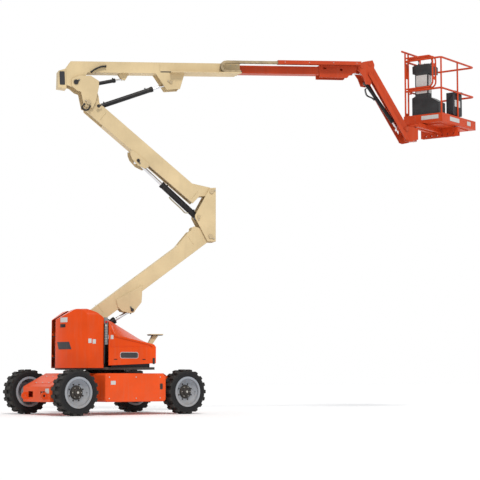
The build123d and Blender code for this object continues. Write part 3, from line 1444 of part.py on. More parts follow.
with BuildPart() as platform_rails:
    # top rail all round and mid rail up to the gate, each from the entry post round to the far side
    platform_pipe(
        [
            (PMID_P, RAIL_Q0, TOP_MID),
            (RAIL_P0, RAIL_Q0, TOP_MID),
            (RAIL_P0, RAIL_Q1, TOP_MID),
            (RAIL_P1, RAIL_Q1, TOP_MID),
            (RAIL_P1, RAIL_Q0, TOP_MID),
            (PMID_P - 1, RAIL_Q0, TOP_MID),
        ],
        RAIL_R,
        45,
    )
    platform_pipe(
        [
            (RAIL_P0, RAIL_Q1, MID_RAIL),
            (RAIL_P0, RAIL_Q0, MID_RAIL),
            (RAIL_P1, RAIL_Q0, MID_RAIL),
            (RAIL_P1, RAIL_Q1, MID_RAIL),
            (PMID_P, RAIL_Q1, MID_RAIL),
        ],
        RAIL_R,
        45,
    )
    for p, q, top in POSTS:
        platform_pipe([(p, q, DECK_Z), (p, q, top)], POST_R, 0)
    platform_pipe([(RAIL_P0 - 110, RAIL_Q1, GUARD_RAIL), (PMID_P - 60, RAIL_Q1, GUARD_RAIL)], RAIL_R, 0)
    platform_pipe([(PMID_P - 60, RAIL_Q1, GUARD_RAIL), (PMID_P - 60, RAIL_Q1, TOP_MID)], POST_R, 0)
    for p in (RAIL_P0, GATE_POST_P):
        platform_pipe(
            [
                (p, RAIL_Q1, LOOP_TOP),
                (p, LOOP_END_Q, LOOP_TOP),
                (p, LOOP_END_Q, LOOP_LOW),
                (p, RAIL_Q1, LOOP_LOW),
            ],
            LOOP_R,
            90,
        )
    # gussets between the doubled posts and between the two loops
    with BuildSketch(PF_P.offset(-RAIL_Q1 - 5)):
        for z0, z1 in ((TOP_MID - 300, TOP_MID - 30), (DECK_Z, DECK_Z + 190)):
            with Locations(((RAIL_P0 + GATE_POST_P) / 2, (z0 + z1) / 2)):
                Rectangle(GATE_POST_P - RAIL_P0, z1 - z0)
    extrude(amount=10)
    with BuildSketch(PF_P.offset(-LOOP_END_Q - 5)):
        for z in (LOOP_LOW + 150, LOOP_TOP - 170):
            with Locations(((RAIL_P0 + GATE_POST_P) / 2, z)):
                Rectangle(GATE_POST_P - RAIL_P0, 60)
    extrude(amount=10)
    # hinge pin and rest of the gate's drop bar
    with BuildSketch(PF_P.offset(-RAIL_Q1)):
        with Locations((PMID_P, MID_RAIL)):
            Circle(10)
    extrude(amount=62)
    with BuildSketch(PF_P.offset(-RAIL_Q1 + 28)):
        with Locations((GATE_POST_P, MID_RAIL - RAIL_R - 4 - SEAT)):
            Rectangle(30, 8)
    extrude(amount=34)
    with BuildSketch(PF_P.offset(-RAIL_Q1)):
        with Locations((GATE_POST_P, MID_RAIL - RAIL_R - 12)):
            Rectangle(30, 10)
    extrude(amount=60)
save(platform_rails, "platform_rails")

BAR_Q = RAIL_Q1 - 44
with BuildPart() as drop_bar:
    with BuildSketch(PF_P.offset(-BAR_Q - 14)):
        with Locations((PMID_P, MID_RAIL)):
            Circle(RAIL_R)
    extrude(amount=28)
    platform_pipe([(PMID_P - 4, BAR_Q, MID_RAIL), (GATE_POST_P - 20, BAR_Q, MID_RAIL)], RAIL_R - 3, 0)
    with BuildSketch(PF_P.offset(-BAR_Q - 20)):
        with Locations((PMID_P, MID_RAIL)):
            Circle(10 + RUN_FIT)
    extrude(amount=40, mode=Mode.SUBTRACT)
save(drop_bar, "drop_bar")

CONSOLE_P0 = PLATFORM_P0 + 150
with BuildPart() as console:
    # lower housing on the floor, then the panel column, then the switch box on top
    for q_pts, depth in (
        ([(-294, DECK_Z), (234, DECK_Z), (234, 5452), (180, 5478), (-130, 5440), (-294, 5340)], 230.0),
        ([(-90, 5400), (170, 5400), (170, 5890), (-90, 5890)], 120.0),
        ([(-150, 5860), (220, 5880), (224, 6010), (180, 6035), (-120, 6022), (-154, 5990)], 240.0),
    ):
        with BuildSketch(PF_Q.offset(CONSOLE_P0)):
            with BuildLine():
                Polyline(*q_pts, close=True)
            make_face()
        extrude(amount=depth)
save(console, "platform_console")

BOX_P0 = 742.0
BOX_P1 = 1070.0
BOX_Q0 = RAIL_Q0 + RAIL_R + SEAT
BOX_Q1 = BOX_Q0 + 130
BOX_Z0 = 5150.0
BOX_Z1 = MID_RAIL - 12
HOOK_T = 5.0
with BuildPart() as document_box:
    with BuildSketch(PF_P.offset(-BOX_Q1)):
        with Locations(((BOX_P0 + BOX_P1) / 2, (BOX_Z0 + BOX_Z1) / 2)):
            RectangleRounded(BOX_P1 - BOX_P0, BOX_Z1 - BOX_Z0, 18)
    extrude(amount=BOX_Q1 - BOX_Q0)
    for p in (BOX_P0 + 40, BOX_P1 - 80):
        with BuildSketch(PF_Q.offset(p)):
            with Locations((RAIL_Q0, MID_RAIL)):
                Circle(RAIL_R + SEAT + HOOK_T)
                Circle(RAIL_R + SEAT, mode=Mode.SUBTRACT)
            with Locations((RAIL_Q0, MID_RAIL - 50)):
                Rectangle(100, 100, mode=Mode.SUBTRACT)
            with Locations((RAIL_Q0 + RAIL_R + SEAT + HOOK_T / 2, MID_RAIL - 20)):
                Rectangle(HOOK_T, 40)
        extrude(amount=40)
save(document_box, "document_box")

# ================= cylinders =================
CYLINDERS = (
    # name, base pin, rod eye, barrel and rod radius, base pin radius, eye radius, barrel end, half lane, stroke in
    ("lower", LOWER_BASE, LOWER_LUG, 50, 25, PIN_R, 46, 790, LANE_BIG, 190),
    ("mid", MID_BASE, MID_LUG, 50, 25, PIN_R, 46, 800, LANE_BIG, 320),
    ("main", MAIN_BASE, MAIN_LUG, 40, 22, 22, 40, 985, LANE_MAIN, 45),
    ("master", MASTER_BASE, MASTER_LUG, 30, 14, 14, 30, 400, LANE_SMALL, 25),
    ("slave", SLAVE_BASE, SLAVE_LUG, 28, 14, 16, 22, 430, LANE_SMALL, 150),
    ("jib", JIB_BASE_EYE, JIB_ROD_EYE, 32, 18, 18, 32, 820, LANE_MAIN, 15),
)
GLAND_L = 46.0
GLAND_T = 4.0
for name, base, eye, barrel_r, rod_r, base_pin, eye_r, barrel_end, lane, stroke_in in CYLINDERS:
    length, deg = reach(base, eye)
    plane = side(*base, deg)
    axis_plane = Plane(origin=plane.origin, x_dir=(0, 1, 0), z_dir=plane.x_dir)
    with BuildPart() as barrel:
        with BuildSketch(axis_plane.offset(base_pin + 12)):
            Circle(barrel_r)
        extrude(amount=barrel_end - base_pin - 12)
        with BuildSketch(axis_plane.offset(barrel_end - GLAND_L)):
            Circle(barrel_r + GLAND_T)
        extrude(amount=GLAND_L)
        with BuildSketch(plane):
            Circle(base_pin + 18)
        extrude(amount=lane, both=True)
        with BuildSketch(axis_plane.offset(base_pin + 30)):
            Circle(rod_r + RUN_FIT)
        extrude(amount=barrel_end, mode=Mode.SUBTRACT)
        with BuildSketch(plane):
            Circle(base_pin + RUN_FIT)
        extrude(amount=2 * lane, both=True, mode=Mode.SUBTRACT)
    save(barrel, name + "_cylinder")
    # the rod's eye comes with its pin in it, and its far cap is held between the bosses of the lug
    with BuildPart() as rod:
        rod_start = base_pin + 36 + stroke_in
        with BuildSketch(axis_plane.offset(rod_start)):
            Circle(rod_r)
        extrude(amount=length - rod_start)
        with BuildSketch(plane):
            with Locations((length, 0)):
                Circle(eye_r)
        extrude(amount=lane, both=True)
    save(rod, name + "_rod")
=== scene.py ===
import math

import bpy
from mathutils import Matrix, Vector


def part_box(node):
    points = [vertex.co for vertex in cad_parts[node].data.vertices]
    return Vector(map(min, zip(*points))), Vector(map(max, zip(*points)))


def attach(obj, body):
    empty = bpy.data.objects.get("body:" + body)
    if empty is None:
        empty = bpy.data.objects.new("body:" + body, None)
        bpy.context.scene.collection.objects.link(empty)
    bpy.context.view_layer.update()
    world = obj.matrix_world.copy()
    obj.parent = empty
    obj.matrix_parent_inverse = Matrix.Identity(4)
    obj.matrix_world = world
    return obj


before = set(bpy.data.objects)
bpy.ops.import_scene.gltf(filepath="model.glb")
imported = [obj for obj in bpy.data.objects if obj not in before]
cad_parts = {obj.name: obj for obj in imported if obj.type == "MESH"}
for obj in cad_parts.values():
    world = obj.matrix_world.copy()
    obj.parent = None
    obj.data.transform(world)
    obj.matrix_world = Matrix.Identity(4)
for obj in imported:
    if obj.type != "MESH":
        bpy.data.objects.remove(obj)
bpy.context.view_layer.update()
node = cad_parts

# ================================================================ studio
# A plain pale floor under a soft sky. The lift stands on the floor and
# keeps its shadow; the backdrop shows white wherever nothing stands.

scene = bpy.context.scene
scene.view_settings.view_transform = "Standard"


def shader_node(tree, kind, sockets=None, **settings):
    """One shader node with its settings and the values of its sockets."""
    made = tree.nodes.new(kind)
    for key, value in settings.items():
        setattr(made, key, value)
    for key, value in (sockets or {}).items():
        made.inputs[key].default_value = value
    return made


FLOOR_RADIUS = 60.0
FLOOR_SIDES = 96
floor_mesh = bpy.data.meshes.new("studio_floor")
floor_mesh.from_pydata(
    [(FLOOR_RADIUS * math.cos(i * math.tau / FLOOR_SIDES),
      FLOOR_RADIUS * math.sin(i * math.tau / FLOOR_SIDES), 0.0) for i in range(FLOOR_SIDES)],
    [], [list(range(FLOOR_SIDES))])
floor = bpy.data.objects.new("studio_floor", floor_mesh)
scene.collection.objects.link(floor)
floor_paint = bpy.data.materials.new("studio_floor_paint")
floor_paint.use_nodes = True
floor_shader = floor_paint.node_tree.nodes["Principled BSDF"]
floor_shader.inputs["Base Color"].default_value = (0.99, 0.99, 0.99, 1.0)
floor_shader.inputs["Emission Color"].default_value = (1.0, 1.0, 1.0, 1.0)
floor_shader.inputs["Emission Strength"].default_value = 0.06
floor_shader.inputs["Roughness"].default_value = 0.95
floor_shader.inputs["Specular IOR Level"].default_value = 0.05
floor_mesh.materials.append(floor_paint)

SKY_STRENGTH = 0.66
world = bpy.data.worlds.new("studio_sky")
scene.world = world
world.use_nodes = True
sky = world.node_tree
sky.nodes.clear()
seen = shader_node(sky, "ShaderNodeLightPath")
seen_direct = shader_node(sky, "ShaderNodeMath", operation="MAXIMUM")
seen_any = shader_node(sky, "ShaderNodeMath", operation="MAXIMUM")
white_sky = shader_node(sky, "ShaderNodeBackground", {"Color": (1, 1, 1, 1), "Strength": 1.0})
lit_sky = shader_node(sky, "ShaderNodeBackground", {"Color": (0.95, 0.97, 1.0, 1), "Strength": SKY_STRENGTH})
either_sky = shader_node(sky, "ShaderNodeMixShader")
sky_out = shader_node(sky, "ShaderNodeOutputWorld")
sky.links.new(seen.outputs["Is Camera Ray"], seen_direct.inputs[0])
sky.links.new(seen.outputs["Is Glossy Ray"], seen_direct.inputs[1])
sky.links.new(seen_direct.outputs[0], seen_any.inputs[0])
sky.links.new(seen.outputs["Is Transmission Ray"], seen_any.inputs[1])
sky.links.new(seen_any.outputs[0], either_sky.inputs[0])
sky.links.new(lit_sky.outputs[0], either_sky.inputs[1])
sky.links.new(white_sky.outputs[0], either_sky.inputs[2])
sky.links.new(either_sky.outputs[0], sky_out.inputs["Surface"])

SUN_STRENGTH = 1.55
SUN_SOFTNESS = math.radians(12)
sun_data = bpy.data.lights.new("high_sun", "SUN")
sun_data.energy = SUN_STRENGTH
sun_data.angle = SUN_SOFTNESS
sun_data.color = (1.0, 0.975, 0.93)
sun = bpy.data.objects.new("high_sun", sun_data)
sun.rotation_euler = (math.radians(42), math.radians(-14), math.radians(10))
scene.collection.objects.link(sun)

# ================================================================ camera
# A long lens low beside the machine, looking slightly up at the booms.

CAMERA_PLACE = Vector((-4.555, -23.585, 0.6355))
CAMERA_HEADING = math.radians(16.08)
CAMERA_PITCH = math.radians(5.128)
LENS_MM = 111.9

camera_data = bpy.data.cameras.new("side_camera")
camera_data.lens = LENS_MM
camera_data.sensor_width = 36.0
camera_data.clip_end = 200.0
camera = bpy.data.objects.new("side_camera", camera_data)
camera.location = CAMERA_PLACE
camera.rotation_euler = (math.radians(90) + CAMERA_PITCH, 0.0, -CAMERA_HEADING)
scene.collection.objects.link(camera)
scene.camera = camera

# ================================================================ chassis
# A welded frame of folded steel plate with a sloped nose at each end,
# shot-blasted and sprayed orange, and dusted with site dirt near the floor.


def new_finish(name, specular=0.5):
    """An empty node material, its tree and shader, and the place on the piece that its patterns follow."""
    made = bpy.data.materials.new(name)
    made.use_nodes = True
    shader = made.node_tree.nodes["Principled BSDF"]
    shader.inputs["Specular IOR Level"].default_value = specular
    place = shader_node(made.node_tree, "ShaderNodeTexCoord").outputs["Object"]
    return made, made.node_tree, shader, place


def cloudy(tree, place, scale, detail):
    noise = shader_node(tree, "ShaderNodeTexNoise", {"Scale": scale, "Detail": detail})
    tree.links.new(place, noise.inputs["Vector"])
    return noise.outputs["Fac"]


def ranged(tree, value, limits):
    spread = shader_node(tree, "ShaderNodeMapRange", limits)
    tree.links.new(value, spread.inputs["Value"])
    return spread.outputs["Result"]


def product(tree, first, second):
    made = shader_node(tree, "ShaderNodeMath", operation="MULTIPLY")
    tree.links.new(first, made.inputs[0])
    tree.links.new(second, made.inputs[1])
    return made.outputs[0]


def shades(tree, pattern, colour, dark, light, stops):
    """A colour that drifts from a darker to a lighter shade of itself."""
    ramp = shader_node(tree, "ShaderNodeValToRGB")
    for element, stop, share in zip(ramp.color_ramp.elements, stops, (dark, light)):
        element.position = stop
        element.color = (*[min(1, c * share) for c in colour], 1)
    tree.links.new(pattern, ramp.inputs["Fac"])
    return ramp.outputs["Color"]


def covered(tree, under, cover, amount):
    """One colour with another laid over it by an amount."""
    mix = shader_node(tree, "ShaderNodeMix", {"B": (*cover, 1)}, data_type="RGBA")
    tree.links.new(amount, mix.inputs["Factor"])
    tree.links.new(under, mix.inputs["A"])
    return mix.outputs["Result"]


def bumped(tree, height, strength, distance, over=None):
    """Surface relief from a pattern, laid over another normal if one is given."""
    bump = shader_node(tree, "ShaderNodeBump", {"Strength": strength, "Distance": distance})
    tree.links.new(height, bump.inputs["Height"])
    if over is not None:
        tree.links.new(over, bump.inputs["Normal"])
    return bump.outputs["Normal"]


DUST = (0.30, 0.24, 0.17)
BARE_EDGE = (0.16, 0.15, 0.14)


def painted_steel(name, colour, rough=0.38, dirt=0.25, dirt_top=1.2, chips=0.35):
    """Sprayed enamel: slow shade drift, fine orange peel, dust low down, chipped edges."""
    coat, tree, shader, place = new_finish(name, 0.18)
    link = tree.links.new
    speck = cloudy(tree, place, 34.0, 8.0)
    streak = shader_node(tree, "ShaderNodeMapping", {"Scale": (9.0, 9.0, 0.9)})
    link(place, streak.inputs["Vector"])
    runs = cloudy(tree, streak.outputs["Vector"], 2.0, 5.0)
    paint = shades(tree, cloudy(tree, place, 2.3, 6.0), colour, 0.86, 1.05, (0.32, 0.70))
    axes = shader_node(tree, "ShaderNodeSeparateXYZ")
    link(place, axes.inputs["Vector"])
    low = ranged(tree, axes.outputs["Z"], {"From Min": dirt_top, "From Max": 0.0})
    washed = ranged(tree, runs, {"From Min": 0.52, "From Max": 0.75, "To Max": 0.10})
    dusted = shader_node(tree, "ShaderNodeMath", operation="MULTIPLY_ADD")
    dusted.inputs[1].default_value = dirt * 2.0
    link(product(tree, low, speck), dusted.inputs[0])
    link(washed, dusted.inputs[2])
    bend = shader_node(tree, "ShaderNodeBevel", {"Radius": 0.006}, samples=4)
    face = shader_node(tree, "ShaderNodeNewGeometry")
    along = shader_node(tree, "ShaderNodeVectorMath", operation="DOT_PRODUCT")
    link(bend.outputs["Normal"], along.inputs[0])
    link(face.outputs["Normal"], along.inputs[1])
    edge = ranged(tree, along.outputs["Value"], {"From Min": 0.985, "From Max": 0.85})
    patchy = ranged(tree, speck, {"From Min": 0.5, "From Max": 0.62})
    chipped = shader_node(tree, "ShaderNodeMath", operation="MULTIPLY")
    chipped.inputs[1].default_value = chips
    link(product(tree, edge, patchy), chipped.inputs[0])
    dirty = covered(tree, paint, DUST, dusted.outputs[0])
    link(covered(tree, dirty, BARE_EDGE, chipped.outputs[0]), shader.inputs["Base Color"])
    link(ranged(tree, speck, {"To Min": rough * 0.8, "To Max": min(1.0, rough * 1.5)}),
         shader.inputs["Roughness"])
    link(bumped(tree, speck, 0.08, 0.002, bend.outputs["Normal"]), shader.inputs["Normal"])
    return coat


def plated_metal(name, colour, rough, scratch=0.05):
    """Bare or plated steel: cloudy shade, fine scratches in the gloss and the surface."""
    skin, tree, shader, place = new_finish(name)
    link = tree.links.new
    shader.inputs["Metallic"].default_value = 1.0
    lines = cloudy(tree, place, 260.0, 2.0)
    tone = shades(tree, cloudy(tree, place, 9.0, 5.0), colour, 0.78, 1.0, (0.3, 0.7))
    link(tone, shader.inputs["Base Color"])
    link(ranged(tree, lines, {"To Min": rough * 0.7, "To Max": min(1.0, rough * 1.6)}),
         shader.inputs["Roughness"])
    link(bumped(tree, lines, scratch, 0.001), shader.inputs["Normal"])
    return skin


FINE_DUST = (0.28, 0.26, 0.23)


def moulded(name, colour, rough=0.55, grain=420.0, depth=0.25, dust=0.35):
    """Moulded plastic or rubber: fine pebble grain, faded patches and dust on upward faces."""
    stuff, tree, shader, place = new_finish(name, 0.3)
    link = tree.links.new
    fade = cloudy(tree, place, 5.0, 6.0)
    pebble = shader_node(tree, "ShaderNodeTexVoronoi", {"Scale": grain})
    link(place, pebble.inputs["Vector"])
    tint = shades(tree, fade, colour, 0.75, 1.3, (0.3, 0.75))
    face = shader_node(tree, "ShaderNodeNewGeometry")
    slope = shader_node(tree, "ShaderNodeSeparateXYZ")
    link(face.outputs["Normal"], slope.inputs["Vector"])
    lying = ranged(tree, slope.outputs["Z"], {"From Min": 0.3, "From Max": 1.0, "To Max": dust})
    link(covered(tree, tint, FINE_DUST, product(tree, lying, fade)), shader.inputs["Base Color"])
    link(ranged(tree, fade, {"To Min": rough * 0.85, "To Max": min(1.0, rough * 1.25)}),
         shader.inputs["Roughness"])
    link(bumped(tree, pebble.outputs["Distance"], depth, 0.0006), shader.inputs["Normal"])
    return stuff


def finish_nodes(material, *names):
    """Give CAD nodes a finish, with their meshes as they are."""
    for name in names:
        node[name].data.materials.clear()
        node[name].data.materials.append(material)


def facing(centre, out, right):
    """Placement whose local z points out of a surface and whose x runs along right."""
    z = Vector(out).normalized()
    x = (Vector(right) - z * Vector(right).dot(z)).normalized()
    turn = Matrix((x, z.cross(x), z)).transposed().to_4x4()
    return Matrix.Translation(Vector(centre)) @ turn


def rounded(width, height, corner, steps=4):
    """Outline of a rectangle with round corners."""
    points = []
    for cx, cy, start in ((1, 1, 0), (-1, 1, 90), (-1, -1, 180), (1, -1, 270)):
        for k in range(steps + 1):
            a = math.radians(start + 90 * k / steps)
            points.append((cx * (width / 2 - corner) + corner * math.cos(a),
                           cy * (height / 2 - corner) + corner * math.sin(a)))
    return points


def ring_of(radius, count, turn=0.0):
    """Points evenly round a circle."""
    return [(radius * math.cos(turn + k * math.tau / count), radius * math.sin(turn + k * math.tau / count))
            for k in range(count)]


def slab(place, outline, thick, edge=0.0015, start=0.0):
    """A plate of one outline standing off a surface, with a small chamfer round its front."""
    count = len(outline)
    cx = sum(p[0] for p in outline) / count
    cy = sum(p[1] for p in outline) / count
    reach = max(math.hypot(p[0] - cx, p[1] - cy) for p in outline)
    inner = [(cx + (x - cx) * (1 - edge / reach), cy + (y - cy) * (1 - edge / reach)) for x, y in outline]
    levels = ((outline, start), (outline, start + thick - edge), (inner, start + thick))
    verts = [place @ Vector((x, y, z)) for line, z in levels for x, y in line]
    faces = [list(range(count))[::-1], [2 * count + k for k in range(count)]]
    for row in range(2):
        for k in range(count):
            a, b = row * count + k, row * count + (k + 1) % count
            faces.append([a, b, b + count, a + count])
    return verts, faces


def lathe(place, profile, count=32):
    """A turned piece: (radius, height) pairs spun about the placement's z."""
    verts = [place @ Vector((r * math.cos(k * math.tau / count), r * math.sin(k * math.tau / count), z))
             for r, z in profile for k in range(count)]
    faces = []
    for row in range(len(profile) - 1):
        for k in range(count):
            a, b = row * count + k, row * count + (k + 1) % count
            faces.append([a, b, b + count, a + count])
    faces.append(list(range(count))[::-1])
    last = (len(profile) - 1) * count
    faces.append([last + k for k in range(count)])
    return verts, faces


def joined(parts):
    """Several shapes as one mesh."""
    verts, faces = [], []
    for part_verts, part_faces in parts:
        shift = len(verts)
        verts += part_verts
        faces += [[k + shift for k in face] for face in part_faces]
    return verts, faces


def make_piece(name, shape, material, body, smooth=False):
    """A new mesh piece that rides with a CAD body."""
    verts, faces = shape
    mesh = bpy.data.meshes.new(name)
    mesh.from_pydata(verts, [], faces)
    mesh.validate()
    mesh.materials.append(material)
    if smooth:
        mesh.shade_smooth()
        mesh.set_sharp_from_angle(angle=math.radians(40))
    piece = bpy.data.objects.new(name, mesh)
    scene.collection.objects.link(piece)
    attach(piece, body)
    return piece


def hex_bolt(place, size):
    """Hexagon head on a washer; size is the thread."""
    return joined([slab(place, ring_of(size * 1.1, 20), size * 0.18, size * 0.04),
                   slab(place, ring_of(size * 0.92, 6), size * 0.66, size * 0.12, size * 0.16),
                   slab(place, ring_of(size * 0.45, 12), size * 0.2, size * 0.1, size * 0.8)])


CHASSIS_TURN = math.radians(21.0)
along_chassis = Vector((math.cos(CHASSIS_TURN), math.sin(CHASSIS_TURN), 0))
across_chassis = Vector((-math.sin(CHASSIS_TURN), math.cos(CHASSIS_TURN), 0))


def on_chassis(a, b, z):
    """Point by its distance along, across and above the chassis."""
    return along_chassis * a + across_chassis * b + Vector((0, 0, z))


orange = painted_steel("body_orange_enamel", (0.82, 0.076, 0.002), rough=0.34, dirt=0.10)
finish_nodes(orange, "chassis_frame", "side_boxes")
zinc = plated_metal("bolt_zinc", (0.62, 0.60, 0.55), 0.35)
black_oxide = painted_steel("black_fittings", (0.02, 0.02, 0.022), rough=0.45, dirt=0.1)
plate_grey = painted_steel("blank_plate_grey", (0.60, 0.60, 0.58), rough=0.4, dirt=0.1, chips=0.1)
plate_dark = painted_steel("blank_plate_dark", (0.045, 0.045, 0.05), rough=0.35, dirt=0.1, chips=0.1)

NOSE_A = 1.240
NOSE_SETBACK = 0.060
COVER_T = 0.004
PLATE_T = 0.003
SLOPE_END_A = 0.840
NOSE_TOP = 0.440
DECK_TOP = 0.645
for end, sign in (("steer", -1), ("drive", 1)):
    nose = NOSE_A if sign < 0 else NOSE_A - NOSE_SETBACK
    low = on_chassis(sign * nose, 0, NOSE_TOP)
    high = on_chassis(sign * SLOPE_END_A, 0, DECK_TOP)
    run = (high - low).normalized()
    slope_out = across_chassis.cross(run).normalized()
    if slope_out.z < 0:
        slope_out = -slope_out
    middle = (low + high) / 2
    cover = facing(middle, slope_out, across_chassis)
    make_piece("nose_cover_" + end, slab(cover, rounded(0.46, 0.26, 0.02), COVER_T),
               orange, "chassis")
    make_piece("nose_cover_bolts_" + end, joined(
        [hex_bolt(facing(middle + across_chassis * b + run * r + slope_out * COVER_T, slope_out, run), 0.010)
         for b in (-0.2, 0, 0.2) for r in (-0.105, 0.105)]), zinc, "chassis")
make_piece("nose_blank_plate",
           slab(facing(on_chassis(-NOSE_A, -0.33, 0.375), -along_chassis, across_chassis),
                rounded(0.11, 0.075, 0.008), PLATE_T), plate_grey, "chassis")

PANEL_HALF_W = 0.850
PANEL_A = (-0.520, 0.600)
LATCH_T = 0.006
LATCH_A = PANEL_A[1] - 0.09
for side, s in (("near", -1), ("far", 1)):
    out = across_chassis * s
    middle_a = (PANEL_A[0] + PANEL_A[1]) / 2
    spots = [(a, z) for a in (PANEL_A[0] + 0.07, middle_a, PANEL_A[1] - 0.11) for z in (0.26, 0.585)]
    make_piece("side_box_bolts_" + side, joined(
        [hex_bolt(facing(on_chassis(a, s * PANEL_HALF_W, z), out, along_chassis), 0.009) for a, z in spots]),
        zinc, "chassis")
    make_piece("side_box_latch_" + side, joined([
        slab(facing(on_chassis(LATCH_A, s * PANEL_HALF_W, 0.44), out, along_chassis),
             rounded(0.05, 0.09, 0.012), LATCH_T),
        slab(facing(on_chassis(LATCH_A, s * (PANEL_HALF_W + LATCH_T), 0.45), out, along_chassis),
             rounded(0.022, 0.05, 0.008), 0.008)]), black_oxide, "chassis")
    make_piece("side_box_plate_" + side,
               slab(facing(on_chassis(PANEL_A[0] + 0.14, s * PANEL_HALF_W, 0.50), out, along_chassis),
                    rounded(0.09, 0.06, 0.006), 0.0015, 0.0004), plate_grey, "chassis")

# ================================================================ axles and steering
# Cast steer ends on king pins, a planetary drive axle and a round track
# rod, all painted dark grey and caked with road dirt.

cast_grey = painted_steel("cast_dark_enamel", (0.05, 0.05, 0.053), rough=0.6, dirt=0.55, dirt_top=0.9)
finish_nodes(cast_grey, "steer_axle", "drive_axle", "steer_knuckle_near", "steer_knuckle_far", "tie_rod")
WHEELBASE = 2.010
KINGPIN_B = 0.585
AXLE_Z = 0.354
KINGPIN_TOP = 0.4505
CAP_T = 0.008
CAP_BOLT_RING = 0.021
for side, s in (("near", -1), ("far", 1)):
    top = facing(on_chassis(-WHEELBASE / 2, s * KINGPIN_B, KINGPIN_TOP), (0, 0, 1), along_chassis)
    make_piece("king_pin_cap_" + side, joined(
        [lathe(top, [(0.034, 0.0), (0.034, 0.005), (0.030, CAP_T), (0.008, CAP_T), (0.006, 0.014)], 24)]
        + [hex_bolt(top @ Matrix.Translation((x, y, CAP_T)), 0.005) for x, y in ring_of(CAP_BOLT_RING, 3)]),
        zinc, "chassis", smooth=True)

# ================================================================ wheels
# Pressed steel rims in grey enamel with a dished centre and eight studs
# round a black hub, and solid-filled rough terrain tyres.


RING_FINENESS = 420.0
CLEAN_RUBBER = (0.014, 0.014, 0.015)
SOILED_RUBBER = (0.085, 0.075, 0.062)


def ringed_rubber(name, centre, axle):
    """Tyre rubber with moulded rings on the side wall, worn brown where it meets the ground."""
    rubber, tree, shader, place = new_finish(name, 0.25)
    link = tree.links.new
    arm = shader_node(tree, "ShaderNodeVectorMath", operation="SUBTRACT")
    arm.inputs[1].default_value = centre
    link(place, arm.inputs[0])
    lever = shader_node(tree, "ShaderNodeVectorMath", operation="CROSS_PRODUCT")
    lever.inputs[1].default_value = axle
    link(arm.outputs["Vector"], lever.inputs[0])
    radius = shader_node(tree, "ShaderNodeVectorMath", operation="LENGTH")
    link(lever.outputs["Vector"], radius.inputs[0])
    wave = shader_node(tree, "ShaderNodeMath", operation="MULTIPLY")
    wave.inputs[1].default_value = RING_FINENESS
    link(radius.outputs["Value"], wave.inputs[0])
    rings = shader_node(tree, "ShaderNodeMath", operation="SINE")
    link(wave.outputs[0], rings.inputs[0])
    grime = cloudy(tree, place, 14.0, 8.0)
    tread = ranged(tree, radius.outputs["Value"], {"From Min": 0.30, "From Max": 0.352, "To Max": 0.5})
    colour = shader_node(tree, "ShaderNodeMix", {"A": (*CLEAN_RUBBER, 1), "B": (*SOILED_RUBBER, 1)},
                         data_type="RGBA")
    link(product(tree, tread, grime), colour.inputs["Factor"])
    link(colour.outputs["Result"], shader.inputs["Base Color"])
    link(ranged(tree, grime, {"To Min": 0.62, "To Max": 0.95}), shader.inputs["Roughness"])
    lines = bumped(tree, rings.outputs[0], 0.35, 0.0015)
    link(bumped(tree, grime, 0.4, 0.001, lines), shader.inputs["Normal"])
    return rubber


rim_grey = painted_steel("rim_grey_enamel", (0.33, 0.37, 0.43), rough=0.42, dirt=0.45, dirt_top=0.8)
TRACK = 1.510
DISC_OUT = 0.036
HUB_FACE = 0.060
STUD_RING = 0.128
STUDS = 8
HUB_BOLT_RING = 0.078
HUB_BOLTS = 6


def on_ring(face, turn, radius, out):
    """Placement on a round face, by its angle and distance from the middle."""
    return face @ Matrix.Rotation(turn, 4, "Z") @ Matrix.Translation((radius, 0, out))


for corner, a, s in (("steer_near", -1, -1), ("steer_far", -1, 1),
                     ("drive_near", 1, -1), ("drive_far", 1, 1)):
    hub = on_chassis(a * WHEELBASE / 2, s * TRACK / 2, AXLE_Z)
    out = across_chassis * s
    finish_nodes(rim_grey, "rim_" + corner)
    finish_nodes(ringed_rubber("tyre_rubber_" + corner, hub, across_chassis), "tyre_" + corner)
    face = facing(hub, out, along_chassis)
    make_piece("hub_cap_" + corner, lathe(
        face, [(0.108, DISC_OUT), (0.1085, DISC_OUT + 0.012),
               (0.103, DISC_OUT + 0.020), (0.098, HUB_FACE + 0.001),
               (0.094, HUB_FACE + 0.006), (0.062, HUB_FACE + 0.010), (0.056, HUB_FACE + 0.026),
               (0.046, HUB_FACE + 0.032), (0.004, HUB_FACE + 0.033)], 40),
        black_oxide, "wheel_" + corner, smooth=True)
    make_piece("hub_bolts_" + corner, joined(
        [hex_bolt(on_ring(face, k * math.tau / HUB_BOLTS, HUB_BOLT_RING, HUB_FACE + 0.0075), 0.007)
         for k in range(HUB_BOLTS)]
        + [lathe(face, [(0.020, HUB_FACE + 0.032), (0.018, HUB_FACE + 0.038),
                        (0.004, HUB_FACE + 0.039)], 20)]),
        zinc, "wheel_" + corner)
    make_piece("wheel_nuts_" + corner, joined(
        [hex_bolt(on_ring(face, (k + 0.5) * math.tau / STUDS, STUD_RING, DISC_OUT), 0.0115)
         for k in range(STUDS)]),
        black_oxide, "wheel_" + corner)
    make_piece("tyre_valve_" + corner, lathe(
        face @ Matrix.Translation((0.176, 0.0, 0.062)) @ Matrix.Rotation(math.radians(-35), 4, "Y"),
        [(0.006, -0.004), (0.006, 0.008), (0.0045, 0.010), (0.0045, 0.034),
         (0.0055, 0.035), (0.0055, 0.046), (0.002, 0.048)], 14),
        black_oxide, "wheel_" + corner)

# ================================================================ slew ring
# A bolted ball ring between chassis and turntable with teeth cut round
# its outside, left in grease-dark steel.

